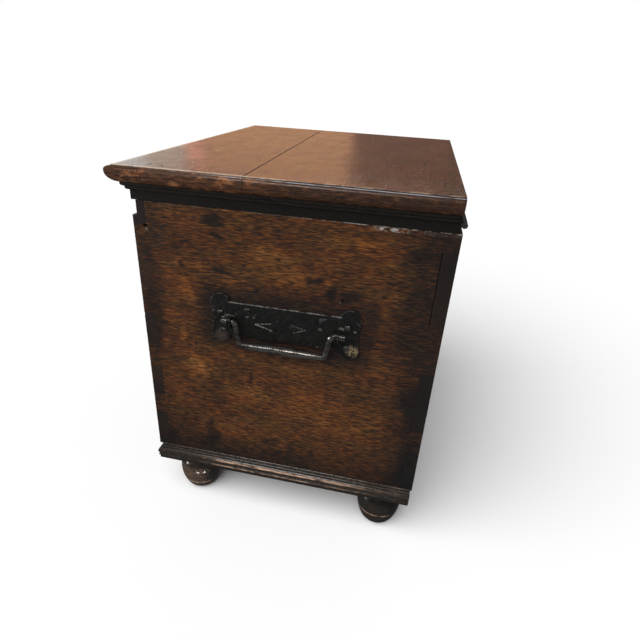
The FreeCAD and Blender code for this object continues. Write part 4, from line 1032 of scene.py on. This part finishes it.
def foot_steps():
    """Heights and radii of the turning, from the tread up."""
    yield 0.0, 15.0
    yield 0.5, 16.6
    yield 2.6, 21.6
    for height in (3.6, 5.5, 8.0, 10.5, 12.6):
        yield height, bun_radius(height)
    yield 13.0, bun_radius(13.0) - 1.0
    yield 13.9, bun_radius(13.9) - 1.0
    for height in (14.3, 15.2, 18, 22, 26, 30, 34, 38, 42, 46, 49, 52, 54.5):
        yield height, bun_radius(height)
    yield from ((55.7, 24.0), (56.5, 20.4), (57.4, 19.5), (59.0, 19.5))
    yield from ((59.9, 22.6), (60.6, 23.3), (FOOT_TALL, 23.3))


clear_choice()
steps = list(foot_steps())
bpy.ops.mesh.primitive_circle_add(vertices=96, radius=steps[0][1] * MM, fill_type="NGON", location=(0, 0, 0))
turning = bpy.context.object
bpy.ops.object.mode_set(mode="EDIT")
bpy.ops.mesh.select_all(action="SELECT")
for (low, narrow), (high, wide) in zip(steps, steps[1:]):
    bpy.ops.mesh.extrude_region_move(TRANSFORM_OT_translate={"value": (0, 0, (high - low) * MM)})
    bpy.ops.transform.resize(value=(wide / narrow, wide / narrow, 1), center_override=(0, 0, 0))
bpy.ops.mesh.select_all(action="SELECT")
bpy.ops.mesh.normals_make_consistent(inside=False)
bpy.ops.object.mode_set(mode="OBJECT")
print("turned in", len(steps), "steps,", len(turning.data.polygons), "faces")

# %% [markdown]
# ### Four feet from one turning
#
# A turner makes all four alike. The one turning is copied four times, each copy with its own
# mesh, and each is set where its solid stands.

# %% Set the four feet
for name in ("front_right_foot", "back_right_foot", "front_left_foot", "back_left_foot"):
    low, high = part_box(name)
    foot = bpy.data.objects.new(f"turned_{name}", turning.data.copy())
    bpy.context.scene.collection.objects.link(foot)
    foot.location = ((low.x + high.x) / 2, (low.y + high.y) / 2, low.z)
    freeze(foot)
    stands_for(foot, name, 50)
bpy.data.objects.remove(turning)

# %% [markdown]
# ## The handles
#
# The smith drew the plate out of bar, so its face is a field of shallow dents. The mesh is made
# even first, then pressed in by a cloudy texture on its outer side only, so its back still lies
# on the wood. Two chevrons are struck with a chisel: each stroke presses a V groove.

# %% Forge the plates
dents = bpy.data.textures.new("hammer_dents", "CLOUDS")
dents.noise_scale = 7 * MM
dents.noise_depth = 1
PLATE_FACE = 253  # how far out the plates' faces stand
GROOVE_DEEP = 0.9


def chisel(plate, start, end):
    """Press a V groove into the plate's face along a stroke."""
    run = Vector((end[0] - start[0], end[1] - start[1]))
    for corner in plate.data.vertices:
        spot = Vector((corner.co.y / MM - start[0], corner.co.z / MM - start[1]))
        along = min(1, max(0, spot.dot(run) / run.length_squared))
        deep = GROOVE_DEEP - (spot - run * along).length
        if deep > 0 and abs(corner.co.x) > (PLATE_FACE - 1) * MM:
            corner.co.x -= math.copysign(deep * MM, corner.co.x)


for name in ("right", "left"):
    plate = work_copy(f"{name}_handle_plate")
    softening = {"width": 0.5 * MM, "segments": 2, "limit_method": "ANGLE", "angle_limit": 0.7}
    finish_modifier(plate, "soften", "BEVEL", **softening)
    finish_modifier(plate, "even", "REMESH", mode="VOXEL", voxel_size=0.75 * MM)
    outside = plate.vertex_groups.new(name="outside")
    for corner in plate.data.vertices:
        outside.add([corner.index], min(1, max(0, (abs(corner.co.x) / MM - 250.6) / 1.6)), "REPLACE")
    pressing = {"texture": dents, "strength": 0.7 * MM, "mid_level": 0.8, "vertex_group": "outside"}
    finish_modifier(plate, "dents", "DISPLACE", **pressing)
    for corner in plate.data.vertices:
        corner.co.x = max(-PLATE_FACE * MM, min(PLATE_FACE * MM, corner.co.x))
    for stroke in CHEVRONS:
        chisel(plate, *stroke)
    stands_for(plate, f"{name}_handle_plate", 50)

# %% [markdown]
# ### The bails
#
# A bail is one bar, thick in the grip and drawn thin to its ends. The hammer leaves it faintly
# faceted, so a soft cloudy texture presses it in by less than half a millimetre.

# %% Forge the bails
facets = bpy.data.textures.new("hammer_facets", "CLOUDS")
facets.noise_scale = 9 * MM
for name in ("right_bail", "left_bail"):
    bail = work_copy(name)
    finish_modifier(bail, "even", "REMESH", mode="VOXEL", voxel_size=0.6 * MM)
    finish_modifier(bail, "facets", "DISPLACE", texture=facets, strength=0.4 * MM, mid_level=1.0)
    stands_for(bail, name, 60)

# %% [markdown]
# ## Lay the finishes on
#
# Every solid that still shows takes the finish of its own name. Its mesh is left as it came.

# %% Lay the finishes on the solids
for name, thing in nodes.items():
    thing.data.materials.clear()
    thing.data.materials.append(material_of[name])
print(len(nodes), "solids finished")
